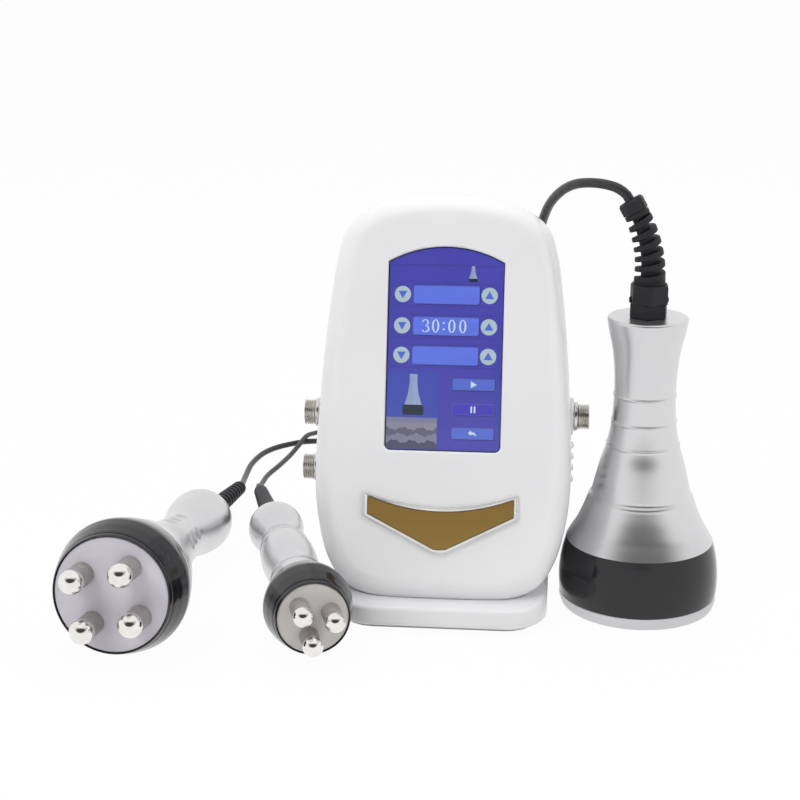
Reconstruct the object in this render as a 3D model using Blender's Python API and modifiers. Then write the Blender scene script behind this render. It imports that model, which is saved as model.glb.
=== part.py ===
"""A tabletop cavitation slimming machine: a leaning console in a dished base, and three corded handpieces.

Metres, +Z up. The console faces -Y, and the origin lies on the table under the middle of its base.
"""
import bpy
import bmesh
from math import asin, cos, pi, radians, sin
from mathutils import Matrix, Vector

# General fits
gap = 0.0003
overrun = 0.004
merge_distance = 0.00002
wall = 0.0025
small_sides = 12
round_sides = 16
fine_sides = 20
large_sides = 24

# Console housing, in its own leaning frame: X across, Y into the depth, Z up along the front face
lean = radians(16)
console_foot_y = -0.062
console_foot_z = 0.018
console_half_width = 0.078
console_height = 0.247
console_depth = 0.074
console_rounding = 0.014
seam_depth = 0.048
# Right half of the outline, from the middle of the bottom to the middle of the top
outline_width_shares = (0, 0.30, 0.56, 0.755, 0.880, 0.962, 0.998, 0.962, 0.905, 0.846, 0.775, 0.60, 0.32, 0)
outline_height_shares = (0, 0.001, 0.010, 0.040, 0.098, 0.190, 0.310, 0.560, 0.748, 0.866, 0.922, 0.968,
                         0.992, 1)
outline_steps = 2

# Base
base_half_width = 0.0655
base_front_y = -0.069
base_back_y = 0.061
base_corner = 0.026
base_rounding = 0.0035
base_front_top = 0.0168
base_back_top = 0.032
base_floor_z = 0.0043
seat_floor_z = 0.008
plate_underside_z = 0.002
plate_inset = 0.006
plate_land_inset = 0.023
plate_land = 0.0006
foot_radius = 0.0065
foot_inset = 0.013
foot_tip_share = 0.9

# Badge under the window: a shield with a hollow top and a pointed foot
badge_half_width = 0.0466
badge_top = 0.0662
badge_side_foot = 0.0515
badge_apex = 0.0295
badge_hollow = 0.0083
badge_rim = 0.0026
badge_rim_height = 0.0016
badge_plate_height = 0.0009
badge_apex_flat = 0.0040
badge_apex_rise = 0.0005

# Display window between the badge and the housing's top, with its glass and panel
window_half_width = 0.035
window_over_badge = 0.0253
window_bottom = badge_top + window_over_badge
window_top_margin = 0.0324
window_crown_height = console_height - window_top_margin
window_arch = 0.0093
window_corner_height = window_crown_height - window_arch
window_corner = 0.0036
window_flare = 0.0016
glass_margin = 0.0022
glass_thickness = 0.0015
panel_margin = 0.004
panel_thickness = 0.007
display_resolution = 3

# Sockets for the handpiece plugs
socket_depth = 0.036
socket_heights = (0.1140, 0.1125, 0.0784)
socket_sides = (1, -1, -1)
pad_radius = 0.0118
pad_reach = 0.0784
socket_flange_radius = 0.009
socket_flange = 0.0026
socket_thread_radius = 0.0079
socket_reach = 0.0094
socket_body_radius = 0.0068
socket_body_depth = 0.013
socket_bore_radius = 0.0061
socket_insert_depth = 0.0085
socket_pin_radius = 0.0007
socket_pin_circle = 0.0033
socket_pin_length = 0.0040
socket_pin_count = 4

# Louvres below the right-hand socket
louvre_count = 4
louvre_pitch = 0.0068
louvre_radius = 0.0024
louvre_length = 0.026
louvre_top = 0.0965
louvre_slot = 0.0018

# Rear: mains inlet with its fuse drawer and rocker, and the fan behind its guard
inlet_height = 0.062
inlet_half_width = 0.030
inlet_half_height = 0.0165
inlet_flange = 0.0022
inlet_body_depth = 0.020
inlet_body_inset = 0.003
inlet_corner = 0.003
inlet_port_x = 0.0075
inlet_port_z = 0.0030
inlet_port_half_width = 0.0120
inlet_port_half_height = 0.0085
inlet_port_depth = 0.016
inlet_pin_recess = 0.0062
inlet_pin_half_width = 0.0020
inlet_pin_half_height = 0.0010
inlet_pin_spacing = 0.0070
drawer_half_width = 0.0105
drawer_half_height = 0.0022
drawer_z = -0.0105
drawer_depth = 0.013
drawer_lip = 0.0012
rocker_x = -0.0195
rocker_half_width = 0.0055
rocker_radius = 0.0095
rocker_rise = 0.0036
rocker_hollow = 0.0012
rocker_tilt = radians(-7)
rocker_stub_radius = 0.0016
rocker_stub_length = 0.0012
fan_from_top = 0.081
fan_height = console_height - fan_from_top
fan_half = 0.025
fan_thickness = 0.012
fan_bore = 0.0228
fan_hub_radius = 0.0095
fan_hub_length = 0.0075
fan_blade_radius = 0.0214
fan_blade_thickness = 0.0009
fan_blade_count = 7
fan_blade_turn = radians(38)
fan_strut_half_width = 0.0016
fan_strut_thickness = 0.0018
guard_radius = 0.0262
guard_bar = 0.0012
guard_thickness = 0.0016
guard_ring_shares = (0.38, 0.68)

# Boards inside the console
board_half_width = 0.056
board_under_window = 0.0075
board_bottom = window_bottom - board_under_window
board_top_margin = 0.0086
board_top = window_crown_height - board_top_margin
board_depth = 0.022
board_thickness = 0.0016
post_radius = 0.003
post_inset = 0.006
# Across, up, half width and half height of each large part on the board
chip_shares = ((-0.45, 0.25, 0.20, 0.12), (0.40, 0.62, 0.16, 0.16),
               (-0.35, 0.75, 0.26, 0.08), (0.45, 0.25, 0.12, 0.10))
chip_rise = 0.006
supply_half_width = 0.034
supply_over_inlet = 0.0095
supply_bottom = inlet_height + inlet_half_height + supply_over_inlet
supply_under_fan = 0.009
supply_top = fan_height - fan_half - supply_under_fan
supply_thickness = 0.026

# Cavitation handpiece, standing on its head
band_top_radius = 0.0453
band_bulge = 0.0039
band_radius = band_top_radius + band_bulge
band_top_z = 0.0424
band_wall = 0.0038
band_inner_radius = band_top_radius - band_wall
head_rim_step = 0.0006
head_rim_radius = band_radius - head_rim_step
head_rim_z = 0.0077
head_face_inset = 0.0017
head_face_radius = head_rim_radius - head_face_inset
head_stack_radius = 0.018
head_stack_top = 0.070
# It stands clear of the console's side at the height of its band, or of the base where that is wider
head_level = 4
side_reach = max(base_half_width, console_half_width * outline_width_shares[head_level])
cavitation_clearance = 0.00346
cavitation_x = side_reach + cavitation_clearance + band_radius
cavitation_y = -0.0025
# Height up the band, and how far its side there stands out from the top edge towards the widest radius
band_side_shares = ((0.82, 0.45), (0.60, 0.82), (0.36, 1.0), (0.12, 0.97))
# Height and radius along the silver body, as shares of its height above the band and of its foot radius
cavitation_top_z = 0.184
shell_height_shares = (0, 0.035, 0.068, 0.105, 0.145, 0.195, 0.212, 0.292, 0.360, 0.425, 0.505, 0.600,
                       0.700, 0.800, 0.870, 0.930, 1)
shell_radius_shares = (1, 0.935, 0.872, 0.818, 0.766, 0.712, 0.672, 0.614, 0.560, 0.496, 0.445, 0.418,
                       0.413, 0.431, 0.462, 0.506, 0.534)
shell_bore = 0.0085

# Gland and spiral bend guard of the cavitation handpiece
gland_foot_radius = 0.0121
gland_foot = 0.0072
gland_lip_radius = 0.0119
gland_lip = 0.0040
gland_nut_radius = 0.0119
gland_nut = 0.0086
gland_collar_radius = 0.0095
gland_collar = 0.0060
gland_turn = radians(15)
guard_lean_x = -0.0135
guard_lean_y = 0.0030
guard_length = 0.0432
sleeve_foot_radius = 0.0052
sleeve_top_radius = 0.0037
sleeve_cap_radius = 0.0079
sleeve_cap = 0.0100
sleeve_foot_share = 0.03
sleeve_lower_share = 0.25
sleeve_middle_share = 0.5
cap_step_share = 0.04
cap_edge_share = 0.96
spiral_wire_radius = 0.0018
spiral_foot_radius = 0.0076
spiral_top_radius = 0.0062
spiral_turns = 6
spiral_points = 10

# Cords
cavitation_cord_radius = 0.0030
multipolar_cord_radius = 0.00215
tripolar_cord_radius = 0.0019

# Multipolar handpiece, lying on its head ring and its tail, beyond the tripolar one
tripolar_clearance = 0.00536
tripolar_x = -side_reach - tripolar_clearance
lying_spacing = 0.1076
multipolar_x = tripolar_x - lying_spacing
multipolar_y = -0.1053
multipolar_yaw = radians(-4.7)
multipolar_ring_radius = 0.0405
multipolar_ring_front = 0.0200
multipolar_ring_back = 0.0175
multipolar_face_radius = 0.0342
multipolar_pin_circle = 0.0207
multipolar_pin_turn = radians(-33.5)
multipolar_pin_count = 4
multipolar_ball_radius = 0.0073
multipolar_post = 0.0069
multipolar_pin_length = 0.0173
multipolar_length = 0.222
multipolar_bulge_radius = 0.0210
multipolar_bulge_share = 0.775
multipolar_neck_share = 0.855
# Place along the grip, and its radius there as a share of the head ring's
multipolar_grip_shares = (
    (0.150, 0.80), (0.215, 0.69), (0.300, 0.555), (0.380, 0.465), (0.460, 0.412), (0.520, 0.395),
    (0.575, 0.402), (0.640, 0.440), (0.700, 0.488), (0.775, 0.5185), (0.840, 0.500), (0.890, 0.452),
    (0.935, 0.375), (0.970, 0.285), (1.0, 0.200))
multipolar_boot_length = 0.038
multipolar_boot_radius = 0.0058

# Tripolar handpiece, lying beside the console
tripolar_y = -0.0934
tripolar_yaw = radians(16.5)
tripolar_ring_radius = 0.0266
tripolar_ring_front = 0.0208
tripolar_ring_back = 0.0150
tripolar_face_radius = 0.0210
tripolar_pin_circle = 0.0109
tripolar_pin_turn = radians(16)
tripolar_pin_count = 3
tripolar_ball_radius = 0.0061
tripolar_post = 0.0057
tripolar_pin_length = 0.0163
tripolar_length = 0.206
tripolar_bulge_radius = 0.0184
tripolar_bulge_share = 0.830
tripolar_neck_share = 0.800
tripolar_grip_shares = (
    (0.200, 0.700), (0.290, 0.590), (0.370, 0.535), (0.425, 0.540), (0.490, 0.625), (0.550, 0.675),
    (0.610, 0.640), (0.660, 0.560), (0.685, 0.525), (0.710, 0.540), (0.760, 0.640), (0.830, 0.692),
    (0.890, 0.650), (0.935, 0.520), (0.960, 0.400), (1.0, 0.260))
tripolar_boot_length = 0.032
tripolar_boot_radius = 0.0052

# Parts of both lying handpieces
face_recess = 0.0010
# How far in from the ring's radius towards the face's, and how far forward or back
ring_front_shares = ((0.92, 1), (0.75, 0.97), (0.50, 0.83), (0.22, 0.58), (0.04, 0.25))
ring_back_shares = ((0, 0), (0.04, 0.40), (0.20, 0.76))
face_thickness = 0.0090
spigot_inset = 0.0040
pin_stem_radius = 0.0024
pin_stem_length = 0.0060
ball_steps = 5
ball_sides = 10
stem_sides = 8
# The ring, face and grip share a side count, so that their flats face each other
handpiece_sides = 18
boot_tip = 0.0010
boot_ribs = 5
boot_rib_height = 0.0009

# Plugs, each lying at the end of its coil
plug_clamp_radius = 0.0055
plug_clamp_length = 0.009
plug_body_radius = 0.0080
plug_body_length = 0.016
plug_neck_radius = 0.0069
plug_neck_length = 0.016
plug_nose_radius = 0.0061
plug_nose_length = 0.0020
plug_ring_radius = 0.0094
plug_ring_bore = 0.0075
plug_ring_length = 0.0140
plug_knurl = 0.0003
plug_knurl_count = 10

# Coils behind the console: middle of the turns, number of turns and way round
coil_step_gap = 0.0006
loop_points = 24
cavitation_coil_x = 0.030
cavitation_coil_y = 0.238
cavitation_coil_turns = 4
cavitation_coil_start = 0.0
cavitation_coil_way = 1
multipolar_coil_x = -0.055
multipolar_coil_y = 0.262
multipolar_coil_turns = 5
multipolar_coil_start = radians(90)
multipolar_coil_way = -1
tripolar_coil_x = -0.084
tripolar_coil_y = 0.348
tripolar_coil_turns = 5.25
tripolar_coil_start = radians(180)
tripolar_coil_way = -1
coil_diameters = 11
coil_tail_diameters = 5

# Routes of the free stretches, between the straight ends at the bend guard and at the coil
cavitation_route = (
    (0.1039, 0.0017, 0.2582), (0.0998, 0.0035, 0.2604), (0.0944, 0.0063, 0.2615), (0.0886, 0.0103, 0.2617),
    (0.0824, 0.0158, 0.2609), (0.0762, 0.0230, 0.2589), (0.0702, 0.0320, 0.2548), (0.0648, 0.0425, 0.2486),
    (0.0600, 0.0545, 0.2402), (0.0566, 0.0670, 0.2298), (0.0540, 0.0800, 0.2176), (0.0518, 0.0940, 0.2020),
    (0.0500, 0.1080, 0.1815), (0.0492, 0.1190, 0.1580), (0.0492, 0.1280, 0.1320), (0.0498, 0.1345, 0.1060),
    (0.0514, 0.1410, 0.0800), (0.0544, 0.1488, 0.0535), (0.0584, 0.1590, 0.0295), (0.0624, 0.1720, 0.0115),
    (0.0652, 0.1865, 0.0044), (0.0662, 0.1990, 0.0031))
multipolar_route = (
    (-0.1630, 0.1790, 0.0050), (-0.1650, 0.2030, 0.0024), (-0.1654, 0.2317, 0.0022),
    (-0.1606, 0.2585, 0.0022), (-0.1530, 0.2729, 0.0022), (-0.1424, 0.2836, 0.0022),
    (-0.1322, 0.2903, 0.0022), (-0.1220, 0.2926, 0.0022), (-0.1050, 0.2932, 0.0022),
    (-0.0850, 0.2922, 0.0022))
tripolar_route = (
    (-0.1483, 0.1640, 0.0085), (-0.1496, 0.1830, 0.0030), (-0.1489, 0.2060, 0.0020),
    (-0.1437, 0.2308, 0.0020), (-0.1389, 0.2560, 0.0023), (-0.1348, 0.2745, 0.0048),
    (-0.1312, 0.2905, 0.0070), (-0.1262, 0.3060, 0.0048), (-0.1180, 0.3230, 0.0023))
route_step_diameters = 3

# Starting again from an empty scene
for leftover in list(bpy.data.objects):
    bpy.data.objects.remove(leftover, do_unlink=True)
parts = bpy.data.collections.new("cavitation_slimming_machine")
cutters = bpy.data.collections.new("cutters")
bpy.context.scene.collection.children.link(parts)
bpy.context.scene.collection.children.link(cutters)


def material(name, colour, roughness, metallic=0.0):
    """A Principled material."""
    made = bpy.data.materials.new(name)
    made.use_nodes = True
    shader = made.node_tree.nodes["Principled BSDF"]
    shader.inputs["Base Color"].default_value = (*colour, 1)
    shader.inputs["Roughness"].default_value = roughness
    shader.inputs["Metallic"].default_value = metallic
    return made


white_plastic = material("white_plastic", (0.86, 0.86, 0.87), 0.30)
black_plastic = material("black_plastic", (0.012, 0.012, 0.014), 0.12)
grey_plastic = material("grey_plastic", (0.62, 0.61, 0.64), 0.40)
dark_rubber = material("dark_rubber", (0.02, 0.02, 0.022), 0.60)
satin_silver = material("satin_silver", (0.62, 0.62, 0.63), 0.32, 0.85)
polished_steel = material("polished_steel", (0.70, 0.69, 0.67), 0.15, 1.0)
gold_plate = material("gold_plate", (0.42, 0.29, 0.10), 0.35, 0.8)
screen_blue = material("screen_blue", (0.06, 0.08, 0.45), 0.10)
board_green = material("board_green", (0.03, 0.20, 0.08), 0.50)


def add_part(name, mesh, finish, parent=None, location=(0, 0, 0), rotation=(0, 0, 0), sharp=radians(35)):
    """Puts a mesh in the machine as one named piece."""
    made = bpy.data.objects.new(name, mesh)
    parts.objects.link(made)
    made.parent = parent
    made.location = location
    made.rotation_euler = rotation
    mesh.materials.clear()
    mesh.materials.append(finish)
    mesh.shade_smooth()
    mesh.set_sharp_from_angle(angle=sharp)
    return made


def add_cutter(name, mesh, parent=None, location=(0, 0, 0), rotation=(0, 0, 0)):
    """Puts a mesh beside the machine as a shape for cutting or joining."""
    made = bpy.data.objects.new(name, mesh)
    cutters.objects.link(made)
    made.parent = parent
    made.location = location
    made.rotation_euler = rotation
    made.hide_render = True
    made.display_type = 'WIRE'
    return made


def add_frame(name, location, rotation=(0, 0, 0), parent=None):
    """An empty that carries a group of pieces."""
    made = bpy.data.objects.new(name, None)
    parts.objects.link(made)
    made.parent = parent
    made.location = location
    made.rotation_euler = rotation
    return made


def combine(target, tool, operation='DIFFERENCE'):
    """Cuts one object with another, or joins it to it."""
    step = target.modifiers.new(operation.lower(), 'BOOLEAN')
    step.operation = operation
    step.solver = 'EXACT'
    step.object = tool


def mesh_of(curve):
    """The closed mesh of a curve, with its caps welded on."""
    holder = bpy.data.objects.new("curve_holder", curve)
    cutters.objects.link(holder)
    bpy.context.view_layer.update()
    drawn = bpy.data.meshes.new_from_object(holder.evaluated_get(bpy.context.evaluated_depsgraph_get()))
    mesh = drawn.copy()
    bpy.data.objects.remove(holder, do_unlink=True)
    work = bmesh.new()
    work.from_mesh(mesh)
    bmesh.ops.remove_doubles(work, verts=work.verts, dist=merge_distance)
    bmesh.ops.recalc_face_normals(work, faces=work.faces)
    work.to_mesh(mesh)
    work.free()
    return mesh


def smooth_path(points, closed=False, per_span=8):
    """Points along a centripetal Catmull-Rom curve through the given ones."""
    knots = [Vector(point) for point in points]
    if closed:
        knots = [knots[-1]] + knots + knots[:2]
    else:
        knots = [knots[0] * 2 - knots[1]] + knots + [knots[-1] * 2 - knots[-2]]
    path = []
    for k in range(len(knots) - 3):
        a, b, c, d = knots[k:k + 4]
        t1 = (b - a).length ** 0.5
        t2 = t1 + (c - b).length ** 0.5
        t3 = t2 + (d - c).length ** 0.5
        for step in range(per_span):
            t = t1 + (t2 - t1) * step / per_span
            ab = a * ((t1 - t) / t1) + b * (t / t1)
            bc = b * ((t2 - t) / (t2 - t1)) + c * ((t - t1) / (t2 - t1))
            cd = c * ((t3 - t) / (t3 - t2)) + d * ((t - t2) / (t3 - t2))
            abc = ab * ((t2 - t) / t2) + bc * (t / t2)
            bcd = bc * ((t3 - t) / (t3 - t1)) + cd * ((t - t1) / (t3 - t1))
            path.append(abc * ((t2 - t) / (t2 - t1)) + bcd * ((t - t1) / (t2 - t1)))
    if not closed:
        path.append(knots[-2])
    return path


def even_path(path, step):
    """The same path with points a steady step apart."""
    length = sum((b - a).length for a, b in zip(path, path[1:]))
    count = max(2, round(length / step))
    spacing = length / count
    even = [path[0]]
    travelled = 0.0
    for a, b in zip(path, path[1:]):
        run = (b - a).length
        while travelled + run >= spacing * len(even) and len(even) < count:
            even.append(a.lerp(b, (spacing * len(even) - travelled) / run))
        travelled += run
    return even + [path[-1]]


def flat_mesh(outline, thickness, rounding=0.0, inset=0.0, fineness=3):
    """A plate of the given outline in X and Z, its thickness along Y, with its edges rounded."""
    curve = bpy.data.curves.new("outline", 'CURVE')
    curve.dimensions = '2D'
    curve.fill_mode = 'BOTH'
    curve.render_resolution_u = 0
    curve.extrude = thickness / 2 - rounding
    curve.bevel_depth = rounding
    curve.bevel_resolution = fineness
    curve.offset = -rounding - inset
    spline = curve.splines.new('POLY')
    spline.points.add(len(outline) - 1)
    for place, (x, z) in zip(spline.points, outline):
        place.co = (x, z, 0, 1)
    spline.use_cyclic_u = True
    mesh = mesh_of(curve)
    mesh.transform(Matrix.Rotation(pi / 2, 4, 'X'))
    return mesh


def box_mesh(low, high, rounding=0.0, segments=2):
    """A box between two corners, with rounded edges."""
    work = bmesh.new()
    bmesh.ops.create_cube(work, size=1)
    size = [b - a for a, b in zip(low, high)]
    middle = [(a + b) / 2 for a, b in zip(low, high)]
    bmesh.ops.scale(work, vec=size, verts=work.verts)
    bmesh.ops.translate(work, vec=middle, verts=work.verts)
    if rounding:
        bmesh.ops.bevel(work, geom=work.edges, offset=rounding, segments=segments, affect='EDGES')
    mesh = bpy.data.meshes.new("box")
    work.to_mesh(mesh)
    work.free()
    return mesh


def rod_mesh(radius, low, high, sides=round_sides, turn=0.0, top_radius=None):
    """A round or many-sided rod along Z."""
    work = bmesh.new()
    bmesh.ops.create_cone(work, cap_ends=True, segments=sides, radius1=radius, depth=high - low,
                          radius2=radius if top_radius is None else top_radius)
    bmesh.ops.rotate(work, cent=(0, 0, 0), matrix=Matrix.Rotation(turn, 3, 'Z'), verts=work.verts)
    bmesh.ops.translate(work, vec=(0, 0, (high + low) / 2), verts=work.verts)
    mesh = bpy.data.meshes.new("rod")
    work.to_mesh(mesh)
    work.free()
    return mesh


def hole_mesh(radius, low, high, sides=round_sides):
    """A rod for cutting a hole whose flats, not its corners, stand at the radius."""
    return rod_mesh(radius / cos(pi / sides), low, high, sides)


def profile_mesh(profile, closed=False):
    """A profile of (radius, height) points at +X, as the edges that a Screw modifier turns."""
    mesh = bpy.data.meshes.new("profile")
    edges = [(k, k + 1) for k in range(len(profile) - 1)]
    if closed:
        edges.append((len(profile) - 1, 0))
    mesh.from_pydata([(radius, 0, height) for radius, height in profile], edges, [])
    return mesh


def turned(target, steps):
    """Turns an object's profile into a round solid about its own Z."""
    turn = target.modifiers.new("turn", 'SCREW')
    turn.axis = 'Z'
    turn.angle = 2 * pi
    turn.steps = steps
    turn.render_steps = steps
    turn.use_smooth_shade = True
    turn.use_merge_vertices = True
    turn.merge_threshold = merge_distance
    return target


def tube_mesh(path, radius, fineness=2, radius_shares=None):
    """A round tube along a path, capped at both ends."""
    curve = bpy.data.curves.new("route", 'CURVE')
    curve.dimensions = '3D'
    curve.render_resolution_u = 0
    curve.bevel_depth = radius
    curve.bevel_resolution = fineness
    curve.use_fill_caps = True
    spline = curve.splines.new('POLY')
    spline.points.add(len(path) - 1)
    for k, (place, point) in enumerate(zip(spline.points, path)):
        place.co = (*point, 1)
        place.radius = radius_shares[k] if radius_shares else 1
    return mesh_of(curve)


def least_gap(path, radius, apart):
    """The least distance between the surfaces of two stretches of one tube, past a given run along it."""
    travelled = [0.0]
    for a, b in zip(path, path[1:]):
        travelled.append(travelled[-1] + (b - a).length)
    least = None
    for i, a in enumerate(path):
        for j in range(i + 1, len(path)):
            if travelled[j] - travelled[i] > apart:
                distance = (a - path[j]).length - 2 * radius
                least = distance if least is None else min(least, distance)
    return least


def length_of(path):
    """The length along a path."""
    return sum((b - a).length for a, b in zip(path, path[1:]))


# Console frame and outline
console = add_frame("console_frame", (0, console_foot_y, console_foot_z), (-lean, 0, 0))
right_side = [(console_half_width * w, console_height * h)
              for w, h in zip(outline_width_shares, outline_height_shares)]
left_side = [(-x, z) for x, z in reversed(right_side[1:-1])]
outline_knots = [(x, z, 0) for x, z in right_side + left_side]
console_outline = [(point.x, point.y) for point in smooth_path(outline_knots, True, outline_steps)]
console_middle = console_depth / 2


def window_outline(margin):
    """The display's outline: straight sides, an arched top and rounded bottom corners."""
    half = window_half_width + margin
    bottom = window_bottom - margin
    corner = window_corner + margin
    rise = window_crown_height - window_corner_height
    arch_radius = (window_half_width ** 2 + rise ** 2) / (2 * rise)
    arch_z = window_crown_height - arch_radius
    reach = asin(half / (arch_radius + margin))
    outline = []
    for k in range(2 * display_resolution + 1):
        angle = reach - reach * k / display_resolution
        outline.append(((arch_radius + margin) * sin(angle), arch_z + (arch_radius + margin) * cos(angle)))
    for side in (-1, 1):
        for k in range(display_resolution):
            angle = pi / 2 * k / (display_resolution - 1)
            if side < 0:
                outline.append((-half + corner - corner * cos(angle), bottom + corner - corner * sin(angle)))
            else:
                outline.append((half - corner + corner * sin(angle), bottom + corner - corner * cos(angle)))
    return outline


def badge_outline(margin):
    """The badge's outline: hollow top, short upright sides and a blunt point below."""
    half = badge_half_width - margin
    top = badge_top - margin
    apex = badge_apex + margin
    foot = badge_side_foot + margin / 2
    outline = []
    for k in range(2 * display_resolution + 1):
        share = k / display_resolution - 1
        outline.append((-half * share, top - badge_hollow * (1 - share ** 2)))
    outline.append((-half, foot))
    outline.append((-badge_apex_flat, apex + badge_apex_rise))
    outline.append((0, apex))
    outline.append((badge_apex_flat, apex + badge_apex_rise))
    outline.append((half, foot))
    return outline


def loft_mesh(front, back, front_y, back_y):
    """A solid between two outlines of as many points, at two depths."""
    work = bmesh.new()
    rings = []
    for outline, depth in ((front, front_y), (back, back_y)):
        rings.append([work.verts.new((x, depth, z)) for x, z in outline])
    for k in range(len(front)):
        work.faces.new((rings[0][k - 1], rings[0][k], rings[1][k], rings[1][k - 1]))
    work.faces.new(rings[0])
    work.faces.new(rings[1])
    bmesh.ops.recalc_face_normals(work, faces=work.faces)
    mesh = bpy.data.meshes.new("loft")
    work.to_mesh(mesh)
    work.free()
    return mesh


# Shapes that both covers share: the hollow, the level cut at the foot, and each side of the seam
reach = console_height + 2 * console_depth
hollow = add_cutter("hollow", flat_mesh(
    console_outline, console_depth - 2 * wall, console_rounding - wall, wall, 0),
    console, (0, console_middle, 0))
foot_cut = add_cutter("foot_cut", box_mesh((-reach, -reach, -reach), (reach, reach, seat_floor_z)))
floor_fill = add_cutter("hollow_foot", box_mesh(
    (-reach, -reach, -reach), (reach, reach, seat_floor_z + wall)))
combine(hollow, floor_fill)
behind_seam = add_cutter("behind_seam", box_mesh(
    (-reach, seam_depth, -reach), (reach, reach, reach)), console)
before_seam = add_cutter("before_seam", box_mesh(
    (-reach, -reach, -reach), (reach, seam_depth + gap, reach)), console)

# Front cover
front_cover = add_part("front_cover", flat_mesh(
    console_outline, console_depth, console_rounding, fineness=2), white_plastic, console,
                       (0, console_middle, 0))
for side, height in zip(socket_sides, socket_heights):
    pad = add_cutter("socket_pad", rod_mesh(pad_radius, console_half_width / 2, pad_reach),
                     console, (0, socket_depth, height), (0, side * pi / 2, 0))
    combine(front_cover, pad, 'UNION')
for k in range(louvre_count):
    louvre_place = (console_half_width - louvre_radius / 2, socket_depth, louvre_top - k * louvre_pitch)
    louvre = add_cutter("louvre", rod_mesh(louvre_radius, -louvre_length / 2, louvre_length / 2, 6), console,
                        louvre_place, (-pi / 2, 0, 0))
    combine(front_cover, louvre, 'UNION')
combine(front_cover, foot_cut)
combine(front_cover, behind_seam)
combine(front_cover, hollow)
for k in range(louvre_count):
    slot_z = louvre_top - (k + 0.5) * louvre_pitch
    slot = add_cutter("louvre_slot", box_mesh(
        (console_half_width - 2 * louvre_pitch, socket_depth - louvre_length / 2, slot_z - louvre_slot / 2),
        (console_half_width + louvre_pitch, socket_depth + louvre_length / 3, slot_z + louvre_slot / 2)),
        console)
    combine(front_cover, slot)
for side, height in zip(socket_sides, socket_heights):
    hole = add_cutter("socket_hole", hole_mesh(
        socket_body_radius + gap, console_half_width / 3, pad_reach + overrun),
        console, (0, socket_depth, height), (0, side * pi / 2, 0))
    combine(front_cover, hole)
window_cut = add_cutter("window_cut", loft_mesh(
    window_outline(window_flare * (1 + 2 * overrun / wall)), window_outline(0), -2 * overrun, wall), console)
window_through = add_cutter("window_through", loft_mesh(
    window_outline(0), window_outline(0), wall / 2, wall + overrun), console)
combine(front_cover, window_cut)
combine(front_cover, window_through)

# Rear cover, with its openings for the inlet and the fan
rear_cover = add_part("rear_cover", flat_mesh(console_outline, console_depth, console_rounding, fineness=2),
                      white_plastic, console, (0, console_middle, 0))
combine(rear_cover, foot_cut)
combine(rear_cover, before_seam)
combine(rear_cover, hollow)
inlet_opening = add_cutter("inlet_opening", box_mesh(
    (-inlet_half_width + inlet_body_inset - gap, console_depth - 2 * wall - overrun,
     inlet_height - inlet_half_height + inlet_body_inset - gap),
    (inlet_half_width - inlet_body_inset + gap, console_depth + overrun,
     inlet_height + inlet_half_height - inlet_body_inset + gap)), console)
combine(rear_cover, inlet_opening)
fan_opening = add_cutter("fan_opening", hole_mesh(
    fan_bore, -wall - overrun, wall + overrun, fine_sides),
    console, (0, console_depth, fan_height), (-pi / 2, 0, 0))
combine(rear_cover, fan_opening)

# Glass and display panel behind the window
glass_y = wall + gap
add_part("screen_glass", flat_mesh(window_outline(glass_margin), glass_thickness), screen_blue, console,
         (0, glass_y + glass_thickness / 2, 0))
panel_y = glass_y + glass_thickness + gap
add_part("display_module", box_mesh(
    (-window_half_width - panel_margin, panel_y, window_bottom - panel_margin),
    (window_half_width + panel_margin, panel_y + panel_thickness, window_crown_height), wall / 2, 1),
    grey_plastic, console)

# Badge: a raised rim round a plate, both standing on the front face
badge_rim_part = add_part("badge_frame", flat_mesh(
    badge_outline(0), badge_rim_height, badge_rim_height / 4, fineness=1),
    polished_steel, console, (0, -gap - badge_rim_height / 2, 0))
badge_well = add_cutter("badge_well", loft_mesh(
    badge_outline(badge_rim), badge_outline(badge_rim), -overrun, overrun), console)
combine(badge_rim_part, badge_well)
add_part("badge_plate", flat_mesh(badge_outline(badge_rim + gap), badge_plate_height), gold_plate, console,
         (0, -gap - badge_plate_height / 2, 0))


# Base: a rounded block with a sloping top, dished to carry the foot of the console
def rounded_rectangle(half_width, front, back, corner, steps=5):
    """An outline with four equal rounded corners."""
    outline = []
    for turn, x, y in ((0, half_width - corner, back - corner), (1, -half_width + corner, back - corner),
                       (2, -half_width + corner, front + corner), (3, half_width - corner, front + corner)):
        for k in range(steps + 1):
            angle = pi / 2 * (turn + k / steps)
            outline.append((x + corner * cos(angle), y + corner * sin(angle)))
    return outline


def level_plate(outline, low, high, rounding=0.0, fineness=2):
    """A level plate of the given outline in X and Y."""
    mesh = flat_mesh(outline, high - low, rounding, fineness=fineness)
    mesh.transform(Matrix.Rotation(-pi / 2, 4, 'X'))
    mesh.transform(Matrix.Translation((0, 0, (low + high) / 2)))
    return mesh


base_outline = rounded_rectangle(base_half_width, base_front_y, base_back_y, base_corner)
base_top = base_back_top + overrun + base_rounding
base_stand = add_part("base_stand", level_plate(
    base_outline, base_floor_z, base_top, base_rounding), white_plastic)
base_length = base_back_y - base_front_y
slope = asin((base_back_top - base_front_top) / base_length)
slope_cut = add_cutter("slope_cut", box_mesh((-reach, -reach, 0), (reach, reach, reach)), None,
                       (0, base_front_y, base_front_top), (slope, 0, 0))
combine(base_stand, slope_cut)
seat = add_cutter("console_seat", flat_mesh(
    console_outline, console_depth + 2 * gap, console_rounding, -gap, 2), console, (0, console_middle, 0))
seat_floor = add_cutter("seat_floor", box_mesh((-reach, -reach, -reach), (reach, reach, seat_floor_z - gap)))
combine(seat, seat_floor)
combine(base_stand, seat)
plate_outline = rounded_rectangle(base_half_width - plate_inset, base_front_y + plate_inset,
                                  base_back_y - plate_inset, base_corner - plate_inset)
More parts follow.
